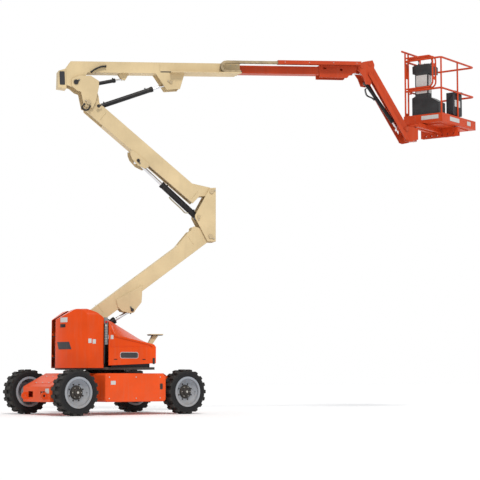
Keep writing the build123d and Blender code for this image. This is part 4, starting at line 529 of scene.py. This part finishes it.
dark_steel = painted_steel("dark_frame_enamel", (0.035, 0.034, 0.036), rough=0.55, dirt=0.2)
finish_nodes(dark_steel, "slew_ring")
RING_R = 0.330
RING_Z = (0.652, 0.684)
TEETH = 90
TOOTH = [(-0.004, -0.0075), (0.006, -0.004), (0.006, 0.004), (-0.004, 0.0075)]
ring_up = facing((0, 0, RING_Z[0]), (0, 0, 1), (1, 0, 0))
make_piece("slew_ring_teeth", joined(
    [slab(on_ring(ring_up, k * math.tau / TEETH, RING_R + 0.002, 0), TOOTH, RING_Z[1] - RING_Z[0], 0.001)
     for k in range(TEETH)]), dark_steel, "chassis")

# ================================================================ turntable
# A flame-cut deck plate with two upright side plates and the counterweight
# at the tail, in dark enamel, and black battery packs below the front hoods.

finish_nodes(dark_steel, "turntable_frame", "counterweight")
battery_black = moulded("battery_case_black", (0.03, 0.03, 0.034), rough=0.6)
finish_nodes(battery_black, "battery_packs")
pack_low, pack_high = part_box("battery_packs")
CELLS = 4
LID_T = 0.012
for side, s in (("near", -1), ("far", 1)):
    cells = []
    for k in range(CELLS):
        x = pack_low[0] + (k + 0.5) * (pack_high[0] - pack_low[0]) / CELLS
        for y in (0.375, 0.575):
            top = facing((x, s * y, pack_high[2]), (0, 0, 1), (1, 0, 0))
            cells.append(slab(top, rounded(0.135, 0.18, 0.012), LID_T, 0.003))
            for dx in (-0.04, 0, 0.04):
                cells.append(lathe(top @ Matrix.Translation((dx, 0.03, LID_T)),
                                   [(0.013, 0), (0.013, 0.010), (0.010, 0.012)], 14))
    make_piece("battery_lids_" + side, joined(cells), battery_black, "turntable")

# ================================================================ ground controls
# A sealed control box between the hoods with a red stop button, a key
# switch and rows of toggle switches on its outer face. No lettering.

console_grey = moulded("control_face_grey", (0.24, 0.25, 0.26), rough=0.5)
finish_nodes(console_grey, "ground_controls")
stop_red = moulded("stop_button_red", (0.55, 0.01, 0.008), rough=0.35, depth=0.05, dust=0.1)
control_low, control_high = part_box("ground_controls")
control_x = (control_low[0] + control_high[0]) / 2


def on_control(dx, z):
    """Placement on the outer face of the ground controls."""
    return facing((control_x + dx, control_low[1], z), (0, -1, 0), (1, 0, 0))


make_piece("ground_stop_button", lathe(
    on_control(0, 1.44), [(0.018, 0), (0.018, 0.006), (0.008, 0.007), (0.008, 0.012), (0.017, 0.014),
                          (0.018, 0.019), (0.012, 0.024), (0.003, 0.025)], 24),
           stop_red, "turntable", smooth=True)
KEY_SWITCH_Z = 1.385
TOGGLE_ROWS = (1.14, 1.18, 1.22, 1.26, 1.30, 1.34)
make_piece("ground_toggles", joined(
    [slab(on_control(0, KEY_SWITCH_Z), rounded(0.030, 0.030, 0.004), 0.003)]
    + [lathe(on_control(dx, z), [(0.006, 0), (0.006, 0.003), (0.0025, 0.004), (0.0025, 0.014),
                                 (0.0035, 0.018), (0.001, 0.020)], 12)
       for dx in (-0.013, 0.013) for z in TOGGLE_ROWS]
    + [lathe(on_control(0, KEY_SWITCH_Z), [(0.009, 0.003), (0.009, 0.009), (0.003, 0.010)], 16)]),
           zinc, "turntable")

# ================================================================ hoods
# Four moulded hoods in body orange, each swinging on one upright line. They
# carry press latches, vents and blank plates where makers put signs.

hood_orange = painted_steel("hood_orange_gelcoat", (0.74, 0.066, 0.002),
                            rough=0.28, dirt=0.06, dirt_top=1.1, chips=0.1)
finish_nodes(hood_orange, "tail_hood_near", "tail_hood_far", "front_hood_near", "front_hood_far")


def surface(name, start, towards):
    """Point and outward direction where a straight line first meets a CAD node."""
    _, spot, normal, _ = node[name].ray_cast(Vector(start), Vector(towards).normalized())
    if normal.dot(Vector(towards)) > 0:
        normal = -normal
    return spot, normal


def curved_plate(name, start, towards, width, height, lean=0.0, steps=10, thick=0.003):
    """A thin blank plate bent to a hood: rows of points thrown on to it along one direction."""
    outer, inner = [], []
    aim = Vector(towards).normalized()
    right = aim.cross(Vector((0, 0, 1))).normalized()
    for i in range(steps + 1):
        for j in (0, 1):
            u = width * (i / steps - 0.5) + lean * (j - 0.5)
            spot, normal = surface(name, Vector(start) + right * u + Vector((0, 0, height * (j - 0.5))), aim)
            inner.append(spot - normal * 0.001)
            outer.append(spot + normal * thick)
    count = 2 * (steps + 1)
    faces = []
    for i in range(steps):
        a = 2 * i
        faces.append([a, a + 2, a + 3, a + 1])
        faces.append([count + a, count + a + 1, count + a + 3, count + a + 2])
        faces.append([a, count + a, count + a + 2, a + 2])
        faces.append([a + 1, a + 3, count + a + 3, count + a + 1])
    faces.append([0, 1, count + 1, count])
    last = 2 * steps
    faces.append([last, count + last, count + last + 1, last + 1])
    return [Vector(v) for v in outer + inner], faces


CLEAR_OF_HOODS = 1.2
# place of the black strip painted as the shadow in the gap between tail and front hoods
GAP_SHADOW_X = -0.160
TAIL_AIM_ANGLE = math.radians(30)
for side, s in (("near", -1), ("far", 1)):
    hood = "tail_hood_" + side
    body = hood
    across = Vector((0, s, 0))
    tail_aim = Vector((math.cos(TAIL_AIM_ANGLE), -s * math.sin(TAIL_AIM_ANGLE), 0))
    make_piece("tail_badge_place_" + side, curved_plate(
        hood, Vector((-0.80, s * 0.46, 1.075)) - tail_aim * CLEAR_OF_HOODS,
        tail_aim, 0.30, 0.115, lean=0.05 * s),
        plate_dark, body)
    make_piece("tail_top_plate_" + side, curved_plate(
        hood, Vector((-0.76, s * 0.44, 1.475)) - tail_aim * CLEAR_OF_HOODS,
        tail_aim, 0.17, 0.075),
        plate_grey, body)
    make_piece("tail_latch_" + side, joined([
        curved_plate(hood, Vector((-0.77, s * 0.42, 1.385)) - tail_aim * CLEAR_OF_HOODS,
                     tail_aim, 0.12, 0.05, thick=0.006),
        curved_plate(hood, Vector((-0.765, s * 0.43, 1.385)) - tail_aim * CLEAR_OF_HOODS,
                     tail_aim, 0.05, 0.022, thick=0.012)]),
        black_oxide, body)
    for k, (x, z) in enumerate(((-0.385, 1.145), (-0.318, 1.135))):
        spot, normal = surface(hood, (x, s * CLEAR_OF_HOODS, z), -across)
        make_piece("hood_label_place_%s_%d" % (side, k), slab(
            facing(spot, normal, (1, 0, 0)), rounded(0.052, 0.070, 0.005), 0.002),
            plate_grey, body)
    # black strip down the hood's closing edge, a painted shadow of the gap between the hoods
    make_piece("tail_hood_gap_shadow_" + side, slab(
        facing((GAP_SHADOW_X, s * 0.722, 1.10), (1, 0, 0), (0, 1, 0)), rounded(0.045, 0.62, 0.006), 0.010, 0.003),
        battery_black, body)

    hood = "front_hood_" + side
    body = hood
    spot, normal = surface(hood, (0.235, s * CLEAR_OF_HOODS, 0.925), -across)
    badge = facing(spot, normal, (1, 0, 0))
    make_piece("front_badge_rim_" + side, slab(badge, rounded(0.288, 0.098, 0.030, 8), 0.004),
               plate_grey, body)
    make_piece("front_badge_place_" + side,
               slab(badge, rounded(0.274, 0.084, 0.026, 8), 0.003, 0.001, 0.0025),
               plate_dark, body)
    spot, normal = surface(hood, (-0.055, s * CLEAR_OF_HOODS, 1.205), -across)
    make_piece("front_label_place_" + side, slab(
        facing(spot, normal, (1, 0, 0)), rounded(0.085, 0.065, 0.006), 0.002), plate_grey, body)
    # black sheets set into the vent slots, painted shade inside the vents
    for k, x in enumerate((0.020, 0.470)):
        make_piece("front_vent_shade_%s_%d" % (side, k), slab(
            facing((x, s * 0.738, 0.860), (0, s, 0), (1, 0, 0)), rounded(0.058, 0.020, 0.002), 0.003),
            black_oxide, body)
    spot, normal = surface(hood, (0.625, s * CLEAR_OF_HOODS, 0.835), -across)
    latch = facing(spot, normal, (1, 0, 0))
    make_piece("front_latch_" + side, joined([
        slab(latch, rounded(0.036, 0.095, 0.008), 0.005),
        slab(latch, rounded(0.018, 0.060, 0.006), 0.007, 0.002, 0.004)]),
        black_oxide, body)
    hinge_bolts = []
    for z in (0.865, 1.02):
        spot, normal = surface(hood, (CLEAR_OF_HOODS, s * 0.26, z), (-1, 0, 0))
        for dy in (0.0, 0.05):
            hinge_bolts.append(hex_bolt(facing(spot + Vector((0, s * dy, 0)), normal, (0, 1, 0)), 0.007))
    make_piece("front_hinge_bolts_" + side, joined(hinge_bolts), zinc, body)

# ================================================================ boom rest
# A folded post bolted to the front of the deck with a flat top plate, on
# which the main boom lies when it is folded.

boom_tan = painted_steel("boom_tan_enamel", (0.70, 0.545, 0.315), rough=0.42, dirt=0.0, chips=0.4)
finish_nodes(boom_tan, "boom_rest")
rest_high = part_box("boom_rest")[1]
make_piece("boom_rest_pad", slab(
    facing((rest_high[0] - 0.107, 0, rest_high[2] - 0.012), (0, 0, -1), (1, 0, 0)),
    rounded(0.205, 0.232, 0.01), 0.010),
    black_oxide, "turntable")

# ================================================================ folding lift arms
# Two box-section arms and their upright ends, welded from bent plate and
# sprayed tan, turning on hardened pins held by bolted keeper plates.

arm_tan = painted_steel("arm_tan_enamel", (0.68, 0.53, 0.31), rough=0.42, dirt=0.0, chips=0.4)
finish_nodes(arm_tan, "lower_boom", "lower_upright", "mid_boom", "upper_upright")
pin_tan = painted_steel("pin_end_tan", (0.56, 0.44, 0.27), rough=0.45, dirt=0.0, chips=1.0)
# pin points in the plane of the booms, x and z
DECK_PIVOT = (-0.343, 1.499)
MID_ARM_TOP = (-0.330, 4.980)
BOOM_PIVOT = (-0.539, 5.303)
LOWER_CYLINDER_TOP = (0.412, 1.657)
MID_CYLINDER_FOOT = (1.505, 3.192)
MID_CYLINDER_TOP = (0.495, 4.078)
MAIN_CYLINDER_FOOT = (-0.170, 4.930)
MAIN_CYLINDER_TOP = (1.032, 5.392)
PINS = (
    # name, body, pin point, half length across, radius, keeper angle, dark finish
    ("deck_pivot", "lower_boom", DECK_PIVOT, 0.160, 0.034, 90, True),
    ("lower_arm_top", "lower_upright", (1.708, 2.871), 0.140, 0.036, -35, False),
    ("mid_arm_foot", "lower_upright", (1.721, 3.608), 0.140, 0.036, 25, False),
    ("mid_arm_top", "upper_upright", MID_ARM_TOP, 0.158, 0.038, 150, False),
    ("main_boom_pivot", "upper_upright", BOOM_PIVOT, 0.158, 0.040, 35, True),
    ("lower_cylinder_top", "lower_boom", LOWER_CYLINDER_TOP, 0.124, 0.027, 120, True),
    ("mid_cylinder_foot", "lower_upright", MID_CYLINDER_FOOT, 0.140, 0.028, -90, False),
    ("mid_cylinder_top", "mid_boom", MID_CYLINDER_TOP, 0.124, 0.027, -60, True),
    ("main_cylinder_foot", "upper_upright", MAIN_CYLINDER_FOOT, 0.158, 0.028, 20, True),
    ("main_cylinder_top", "main_boom", MAIN_CYLINDER_TOP, 0.123, 0.027, 160, False),
)
KEEPER_T = 0.005
for name, body, (x, z), face_y, radius, keeper, dark in PINS:
    metal = dark_steel if dark else pin_tan
    parts, bolts = [], []
    for s in (-1, 1):
        face = facing((x, s * face_y, z), (0, s, 0), (1, 0, 0))
        parts.append(lathe(face, [(radius, 0.0003), (radius, 0.005), (radius - 0.003, 0.008),
                                  (0.008, 0.008), (0.005, 0.005), (0.001, 0.005)], 28))
        turn = math.radians(keeper if s < 0 else 180 - keeper)
        spot = face @ Matrix.Rotation(turn, 4, "Z") @ Matrix.Translation((radius + 0.016, 0, 0.0003))
        parts.append(slab(spot, rounded(0.040, 0.022, 0.006), KEEPER_T))
        bolts.append(hex_bolt(spot @ Matrix.Translation((0.006, 0, KEEPER_T)), 0.007))
    make_piece("pin_ends_" + name, joined(parts), metal, body, smooth=True)
    make_piece("pin_bolts_" + name, joined(bolts), zinc, body)

weld_tan = painted_steel("weld_bead_tan", (0.68, 0.53, 0.31), rough=0.55, dirt=0.0, chips=0.15)


def in_boom_plane(point):
    """A pin point in the middle plane of the booms."""
    return Vector((point[0], 0, point[1]))


def weld_bead(start, end, out, radius=0.004):
    """A raised bead of overlapping ripples laid between two points."""
    line = Vector(end) - Vector(start)
    ripples = max(2, int(line.length / 0.012))
    side = line.normalized().cross(Vector(out)).normalized() * radius
    up = Vector(out).normalized() * radius
    verts, faces = [], []
    for k in range(2 * ripples + 1):
        swell = 1.0 if k % 2 else 0.72
        centre = Vector(start) + line * (k / (2 * ripples))
        for a in (0, 45, 90, 135, 180):
            verts.append(centre + side * math.cos(math.radians(a)) * swell
                         + up * math.sin(math.radians(a)) * swell)
    for k in range(2 * ripples):
        for j in range(4):
            a = 5 * k + j
            faces.append([a, a + 1, a + 6, a + 5])
        faces.append([5 * k + 4, 5 * k, 5 * k + 5, 5 * k + 9])
    faces.append([0, 1, 2, 3, 4])
    faces.append([10 * ripples + 4 - j for j in range(5)])
    return verts, faces


LOWER_ANGLE = math.radians(36.95)
MID_ANGLE = math.radians(-39.0)
LOWER_DIR = Vector((math.cos(LOWER_ANGLE), 0, math.sin(LOWER_ANGLE)))
MID_DIR = Vector((math.cos(MID_ANGLE), 0, math.sin(MID_ANGLE)))
ARM_HALF_W = 0.100
SEAM_HALF = 0.080


def arm_seams(pivot, direction, distances):
    """Upright weld beads on both sides of an arm, at distances from its foot pin."""
    beads = []
    upward = Vector((-direction.z, 0, direction.x))
    for distance in distances:
        for s in (-1, 1):
            middle = in_boom_plane(pivot) + direction * distance + Vector((0, s * ARM_HALF_W, 0))
            beads.append(weld_bead(middle - upward * SEAM_HALF, middle + upward * SEAM_HALF, (0, s, 0)))
    return beads


make_piece("weld_seams_lower_boom", joined(arm_seams(DECK_PIVOT, LOWER_DIR, (0.30, 2.16))),
           weld_tan, "lower_boom", smooth=True)
make_piece("weld_seams_mid_boom", joined(arm_seams(MID_ARM_TOP, MID_DIR, (0.32, 2.28))),
           weld_tan, "mid_boom", smooth=True)

hose_black = moulded("hose_rubber_black", (0.012, 0.012, 0.013), rough=0.5, grain=900.0, depth=0.15)


def hose(points, radius, sides=10, fittings=True, steps=8):
    """A clamped hose through its points on a smooth curve, with crimped ends."""
    pts = [Vector(p) for p in points]
    pts = [pts[0] * 2 - pts[1]] + pts + [pts[-1] * 2 - pts[-2]]
    line = []
    for k in range(1, len(pts) - 2):
        a, b, c, d = pts[k - 1:k + 3]
        for j in range(steps):
            t = j / steps
            line.append(0.5 * ((2 * b) + (c - a) * t + (2 * a - 5 * b + 4 * c - d) * t * t
                               + (3 * b - a - 3 * c + d) * t ** 3))
    line.append(pts[-2])
    verts, faces = [], []
    across = Vector((0, 1, 0)) if abs((line[1] - line[0]).normalized().y) < 0.9 else Vector((1, 0, 0))
    last = len(line) - 1
    for k, spot in enumerate(line):
        run = (line[min(k + 1, last)] - line[max(k - 1, 0)]).normalized()
        across = (across - run * across.dot(run)).normalized()
        other = run.cross(across)
        swell = 1.35 if fittings and (k < 2 or k > last - 2) else 1.0
        for j in range(sides):
            a = j * math.tau / sides
            verts.append(spot + (across * math.cos(a) + other * math.sin(a)) * radius * swell)
    for k in range(last):
        for j in range(sides):
            a, b = k * sides + j, k * sides + (j + 1) % sides
            faces.append([a, b, b + sides, a + sides])
    faces.append(list(range(sides))[::-1])
    faces.append([last * sides + j for j in range(sides)])
    return verts, faces


# ================================================================ lift cylinders
# Black painted barrels with a screwed gland at the mouth and two pipe
# fittings each, and ground rods plated with chrome.

cylinder_black = painted_steel("cylinder_black_enamel", (0.018, 0.018, 0.02),
                               rough=0.32, dirt=0.05, chips=0.5)
chrome = plated_metal("rod_chrome_plate", (0.80, 0.80, 0.82), 0.09, scratch=0.02)
JIB_CYLINDER_FOOT = (4.477, 5.585)
JIB_CYLINDER_TOP = (5.055, 4.813)
CYLINDERS = (
    # name, foot pin, rod eye
    ("lower", (-0.520, 1.088), LOWER_CYLINDER_TOP),
    ("mid", MID_CYLINDER_FOOT, MID_CYLINDER_TOP),
    ("main", MAIN_CYLINDER_FOOT, MAIN_CYLINDER_TOP),
    ("master", (-0.260, 5.300), (0.262, 5.425)),
    ("slave", (3.800, 5.742), (4.412, 5.737)),
    ("jib", JIB_CYLINDER_FOOT, JIB_CYLINDER_TOP),
)
MOUTH_DEPTH = 0.02
for name, foot_point, eye_point in CYLINDERS:
    foot, eye = in_boom_plane(foot_point), in_boom_plane(eye_point)
    finish_nodes(cylinder_black, name + "_cylinder")
    finish_nodes(chrome, name + "_rod")
    way = (eye - foot).normalized()
    arms = [v.co - foot for v in node[name + "_cylinder"].data.vertices]
    mouth = max(arm.dot(way) for arm in arms)
    radius = max((arm - way * arm.dot(way)).length for arm in arms if arm.dot(way) > mouth - MOUTH_DEPTH)
    gland = facing(foot + way * (mouth - 0.028), way, (0, 1, 0))
    rings = []
    for k in range(2):
        rings.append(lathe(gland @ Matrix.Translation((0, 0, 0.010 * k)), [
            (radius - 0.001, 0), (radius + 0.0025, 0.001),
            (radius + 0.0025, 0.005), (radius - 0.001, 0.006)], 32))
    up = Vector((-way.z, 0, way.x))
    if up.z < 0:
        up = -up
    # the jib cylinder has its ports on the near side, clear of the arm over it
    if name == "jib":
        up = Vector((0, -1, 0))
    for share in (0.12, 0.86):
        spot = foot + way * (mouth * share + 0.02) + up * (radius - 0.002)
        port = facing(spot, up, way)
        rings.append(lathe(port, [(0.012, 0), (0.012, 0.008), (0.009, 0.009),
                                  (0.009, 0.016), (0.002, 0.017)], 16))
    make_piece("cylinder_gland_" + name, joined(rings), black_oxide,
               name + "_cylinder", smooth=True)

# two steel pipes under the barrel of the middle cylinder
MID_FOOT = in_boom_plane(MID_CYLINDER_FOOT)
MID_WAY = (in_boom_plane(MID_CYLINDER_TOP) - MID_FOOT).normalized()
MID_DOWN = Vector((-MID_WAY.z, 0, MID_WAY.x))
if MID_DOWN.z > 0:
    MID_DOWN = -MID_DOWN
steel_pipe = plated_metal("pipe_zinc_yellow", (0.55, 0.50, 0.36), 0.35)
PIPE_ROUTE = (
    # distance from the foot pin, depth below the middle line
    (0.16, 0.05), (0.20, 0.078), (0.30, 0.074), (0.52, 0.074), (0.56, 0.062))
make_piece("mid_cylinder_pipes", joined([
    hose([MID_FOOT + MID_WAY * d + MID_DOWN * u + Vector((0, y, 0)) for d, u in PIPE_ROUTE], 0.006)
    for y in (-0.022, 0.022)]), steel_pipe, "mid_cylinder", smooth=True)

# ================================================================ main boom
# The long box section of the telescope with lug cheeks for two cylinders,
# a bent cover over its tail and a shelf for the cable carrier on one side.

finish_nodes(boom_tan, "main_boom", "tail_cover")
BOOM_FOOT = in_boom_plane(BOOM_PIVOT)
BOOM_TILT = math.radians(2.5)
boom_out = Vector((math.cos(BOOM_TILT), 0, math.sin(BOOM_TILT)))
boom_up = Vector((-math.sin(BOOM_TILT), 0, math.cos(BOOM_TILT)))
MAIN_HALF_W = 0.115


def on_boom(x, z, y):
    """Point by its distance out along the boom and up from the line through its pivot."""
    return BOOM_FOOT + boom_out * x + boom_up * z + Vector((0, y, 0))


make_piece("boom_side_slot", joined([
    slab(facing(on_boom(1.60, 0.190, s * MAIN_HALF_W), (0, s, 0), boom_out),
         rounded(0.39, 0.016, 0.008), 0.003)
    for s in (-1, 1)]), plate_dark, "main_boom")
make_piece("boom_wear_pad_bolts", joined([
    hex_bolt(facing(on_boom(x, z, s * MAIN_HALF_W), (0, s, 0), boom_out), 0.009)
    for s in (-1, 1) for x in (2.60, 2.70) for z in (0.20, 0.31)]), zinc, "main_boom")
make_piece("boom_weld_seams", joined([
    weld_bead(on_boom(x, 0.20, s * MAIN_HALF_W), on_boom(x, 0.315, s * MAIN_HALF_W), (0, s, 0))
    for s in (-1, 1) for x in (0.50, 1.40)]), weld_tan, "main_boom", smooth=True)
make_piece("tail_cover_panel", joined([
    slab(facing(on_boom(-0.215, 0.07, s * 0.110), (0, s, 0), boom_out), rounded(0.085, 0.22, 0.012), 0.003)
    for s in (-1, 1)]), plate_dark, "main_boom")

# hoses hanging below the boom's pivot, and along its near side just ahead of it
make_piece("tail_hose_loop", joined([
    hose([(-0.40, y, 4.95), (-0.445, y - 0.01, 4.895), (-0.41, y - 0.015, 4.850),
          (-0.35, y - 0.01, 4.855), (-0.31, y, 4.92)], 0.012)
    for y in (-0.168, -0.196)]), hose_black, "upper_upright", smooth=True)
make_piece("boom_pivot_hoses", joined([
    hose([on_boom(0.25, 0.165, y), on_boom(0.32, 0.215, y - 0.01),
          on_boom(0.42, 0.255, y - 0.012), on_boom(0.50, 0.265, y)], 0.013)
    for y in (-0.127, -0.147)]), hose_black, "main_boom", smooth=True)

# ================================================================ telescope and cable carrier
# The sliding inner boom and the steel tray along it in red enamel, and a
# plastic link carrier that leads hoses from the fixed boom to the moving one.

jib_red = painted_steel("jib_red_enamel", (0.52, 0.058, 0.016), rough=0.36, dirt=0.0, chips=0.35)
carrier_tan = moulded("carrier_link_plastic", (0.38, 0.29, 0.17), rough=0.5, grain=300.0)
finish_nodes(jib_red, "fly_boom", "cable_tray")
finish_nodes(carrier_tan, "cable_track")
finish_nodes(hose_black, "carrier_hoses")
BOOM_MOUTH = 2.76
make_piece("fly_boom_pads", slab(
    facing(on_boom(BOOM_MOUTH + 0.004, 0.350, 0.0), boom_out, (0, 1, 0)),
    rounded(0.21, 0.012, 0.003), 0.014), black_oxide, "main_boom")
make_piece("tray_bolts", joined([
    hex_bolt(facing(on_boom(x, 0.360, -0.227), (0, -1, 0), boom_out), 0.007)
    for x in (3.52, 3.95, 4.38, 4.80)]),
    zinc, "fly_boom")

# ================================================================ jib
# Two side plates joined by a web, and a pair of flat links beside them that
# keep the platform level, in red enamel, from the telescope to the rotator.

finish_nodes(jib_red, "jib_base", "jib_arm", "jib_links", "jib_head")
JIB_PINS = (
    # name, body, x, z, half length across, radius
    ("knuckle", "jib_base", 4.360, 5.832, 0.139, 0.026),
    ("jib_top", "jib_base", 4.507, 5.885, 0.139, 0.028),
    ("jib_end", "jib_head", 5.176, 4.791, 0.139, 0.028),
)
for name, body, x, z, face_y, radius in JIB_PINS:
    parts = []
    for s in (-1, 1):
        face = facing((x, s * face_y, z), (0, s, 0), (1, 0, 0))
        parts.append(lathe(face, [(radius, 0.0003), (radius, 0.002), (radius - 0.004, 0.0028),
                                  (0.006, 0.0028), (0.001, 0.0015)], 24))
    make_piece("jib_pin_ends_" + name, joined(parts), jib_red, body, smooth=True)
JIB_FOOT = in_boom_plane(JIB_CYLINDER_FOOT)
JIB_WAY = (in_boom_plane(JIB_CYLINDER_TOP) - JIB_FOOT).normalized()
JIB_UP = Vector((-JIB_WAY.z, 0, JIB_WAY.x))
HOSE_PORT = 0.040
make_piece("jib_hose_loop", joined([
    hose([JIB_FOOT + JIB_WAY * 0.08 + JIB_UP * -HOSE_PORT + Vector((0, y, 0)),
          (4.470, y, 5.470), (4.500, y, 5.375), (4.590, y, 5.335),
          JIB_FOOT + JIB_WAY * 0.33 + JIB_UP * -HOSE_PORT + Vector((0, y, 0))], 0.007)
    for y in (-0.020, 0.020)]),
    hose_black, "jib_cylinder", smooth=True)
ROTATOR = Vector((5.320, 0, 0))
ROTATOR_BOTTOM = 4.615
make_piece("rotator_bolts", joined([
    hex_bolt(facing(ROTATOR + Vector((x, y, ROTATOR_BOTTOM)), (0, 0, -1), (1, 0, 0)), 0.008)
    for x, y in ring_of(0.066, 8)]), zinc, "jib_head")

# ================================================================ platform
# A welded tube cage in red enamel with a tread-plate floor, toe boards,
# a drop bar at the gate, the upper controls and a box for papers.

platform_red = painted_steel("platform_red_enamel", (0.60, 0.060, 0.012), rough=0.36, dirt=0.0, chips=0.45)
finish_nodes(platform_red, "platform_support", "platform_rails", "drop_bar", "platform_floor")
PLATFORM_TURN = math.radians(37.3)
along_p = Vector((math.cos(PLATFORM_TURN), math.sin(PLATFORM_TURN), 0))
along_q = Vector((-math.sin(PLATFORM_TURN), math.cos(PLATFORM_TURN), 0))


def on_platform(p, q, z):
    """Point by its distance out from the rotator, across the platform and above the floor."""
    return ROTATOR + along_p * p + along_q * q + Vector((0, 0, z))


tread_metal = plated_metal("tread_plate_bare", (0.50, 0.49, 0.46), 0.45, scratch=0.15)
FLOOR_TOP = 4.991
FLOOR_P = (0.30, 1.472)
FLOOR_Q = (-0.418, 0.294)
lugs = []
ROWS, COLUMNS = 11, 18
for i in range(COLUMNS):
    for j in range(ROWS):
        p = FLOOR_P[0] + (i + 0.5) * (FLOOR_P[1] - FLOOR_P[0]) / COLUMNS
        q = FLOOR_Q[0] + (j + 0.5) * (FLOOR_Q[1] - FLOOR_Q[0]) / ROWS
        lean = math.radians(45 if (i + j) % 2 else -45)
        place = facing(on_platform(p, q, FLOOR_TOP), (0, 0, 1), along_p) @ Matrix.Rotation(lean, 4, "Z")
        lugs.append(slab(place, [(-0.017, 0), (0, -0.005), (0.017, 0), (0, 0.005)], 0.003, 0.001))
make_piece("floor_tread_lugs", joined(lugs), tread_metal, "platform")
SIDE_Q = -0.442
BOOM_SIDE_P = 0.276
make_piece("toe_board_plates", joined([
    slab(facing(on_platform(p, SIDE_Q, 5.045), -along_q, along_p), rounded(w, 0.075, 0.006), 0.003)
    for p, w in ((0.72, 0.34), (1.24, 0.13))]), plate_grey, "platform")

console_black = moulded("console_black", (0.035, 0.038, 0.04), rough=0.45)
finish_nodes(console_black, "platform_console")
finish_nodes(battery_black, "document_box")
TOP_BOX_Z = 6.035
LID_TOP = TOP_BOX_Z + 0.006
CONSOLE_P, CONSOLE_Q = 0.54, 0.035
top = facing(on_platform(CONSOLE_P, CONSOLE_Q, TOP_BOX_Z), (0, 0, 1), along_q)
make_piece("console_lid", slab(top, rounded(0.28, 0.20, 0.02), 0.020, 0.0015, -0.014),
           console_black, "platform")
sticks = []
for q in (-0.10, 0.16):
    base = facing(on_platform(CONSOLE_P, q, LID_TOP), (0, 0, 1), along_q)
    sticks.append(lathe(base, [(0.030, 0), (0.028, 0.010), (0.018, 0.022), (0.011, 0.034), (0.006, 0.040),
                               (0.006, 0.075), (0.014, 0.085), (0.016, 0.118),
                               (0.012, 0.126), (0.003, 0.128)], 20))
make_piece("console_joysticks", joined(sticks), console_black, "platform", smooth=True)
make_piece("console_stop_button", lathe(
    facing(on_platform(CONSOLE_P, CONSOLE_Q, LID_TOP), (0, 0, 1), along_q),
    [(0.018, 0), (0.018, 0.006), (0.008, 0.007), (0.008, 0.012),
     (0.018, 0.015), (0.018, 0.021), (0.010, 0.026), (0.002, 0.027)], 24),
    stop_red, "platform", smooth=True)
make_piece("console_toggles", joined([
    lathe(facing(on_platform(p, q, LID_TOP), (0, 0, 1), along_q),
          [(0.007, 0), (0.007, 0.003), (0.003, 0.004), (0.003, 0.016), (0.004, 0.020), (0.001, 0.022)], 12)
    for p in (0.465, 0.615) for q in (-0.03, 0.0, 0.03, 0.06, 0.09)]), zinc, "platform")
BOX_P = 0.906
BOX_Q = -0.4007
make_piece("document_box_plate", slab(
    facing(on_platform(BOX_P, BOX_Q, 5.36), -along_q, along_p), rounded(0.20, 0.12, 0.008), 0.002, 0.0005),
    plate_grey, "platform")

for name, z, high in (("upper", 5.745, 0.20), ("lower", 5.570, 0.10)):
    make_piece("console_column_plate_" + name, joined([
        slab(facing(on_platform(p, q, z), out, right), rounded(w, high, 0.012), 0.003)
        for p, q, w, out, right in ((0.546, 0.040, 0.22, along_p, along_q),
                                    (0.426, 0.040, 0.22, -along_p, along_q),
                                    (0.486, -0.090, 0.09, -along_q, along_p))]),
        plate_grey, "platform")
make_piece("toe_board_boom_plate", slab(
    facing(on_platform(BOOM_SIDE_P, -0.20, 5.055), -along_p, along_q), rounded(0.34, 0.07, 0.006), 0.003),
    plate_grey, "platform")
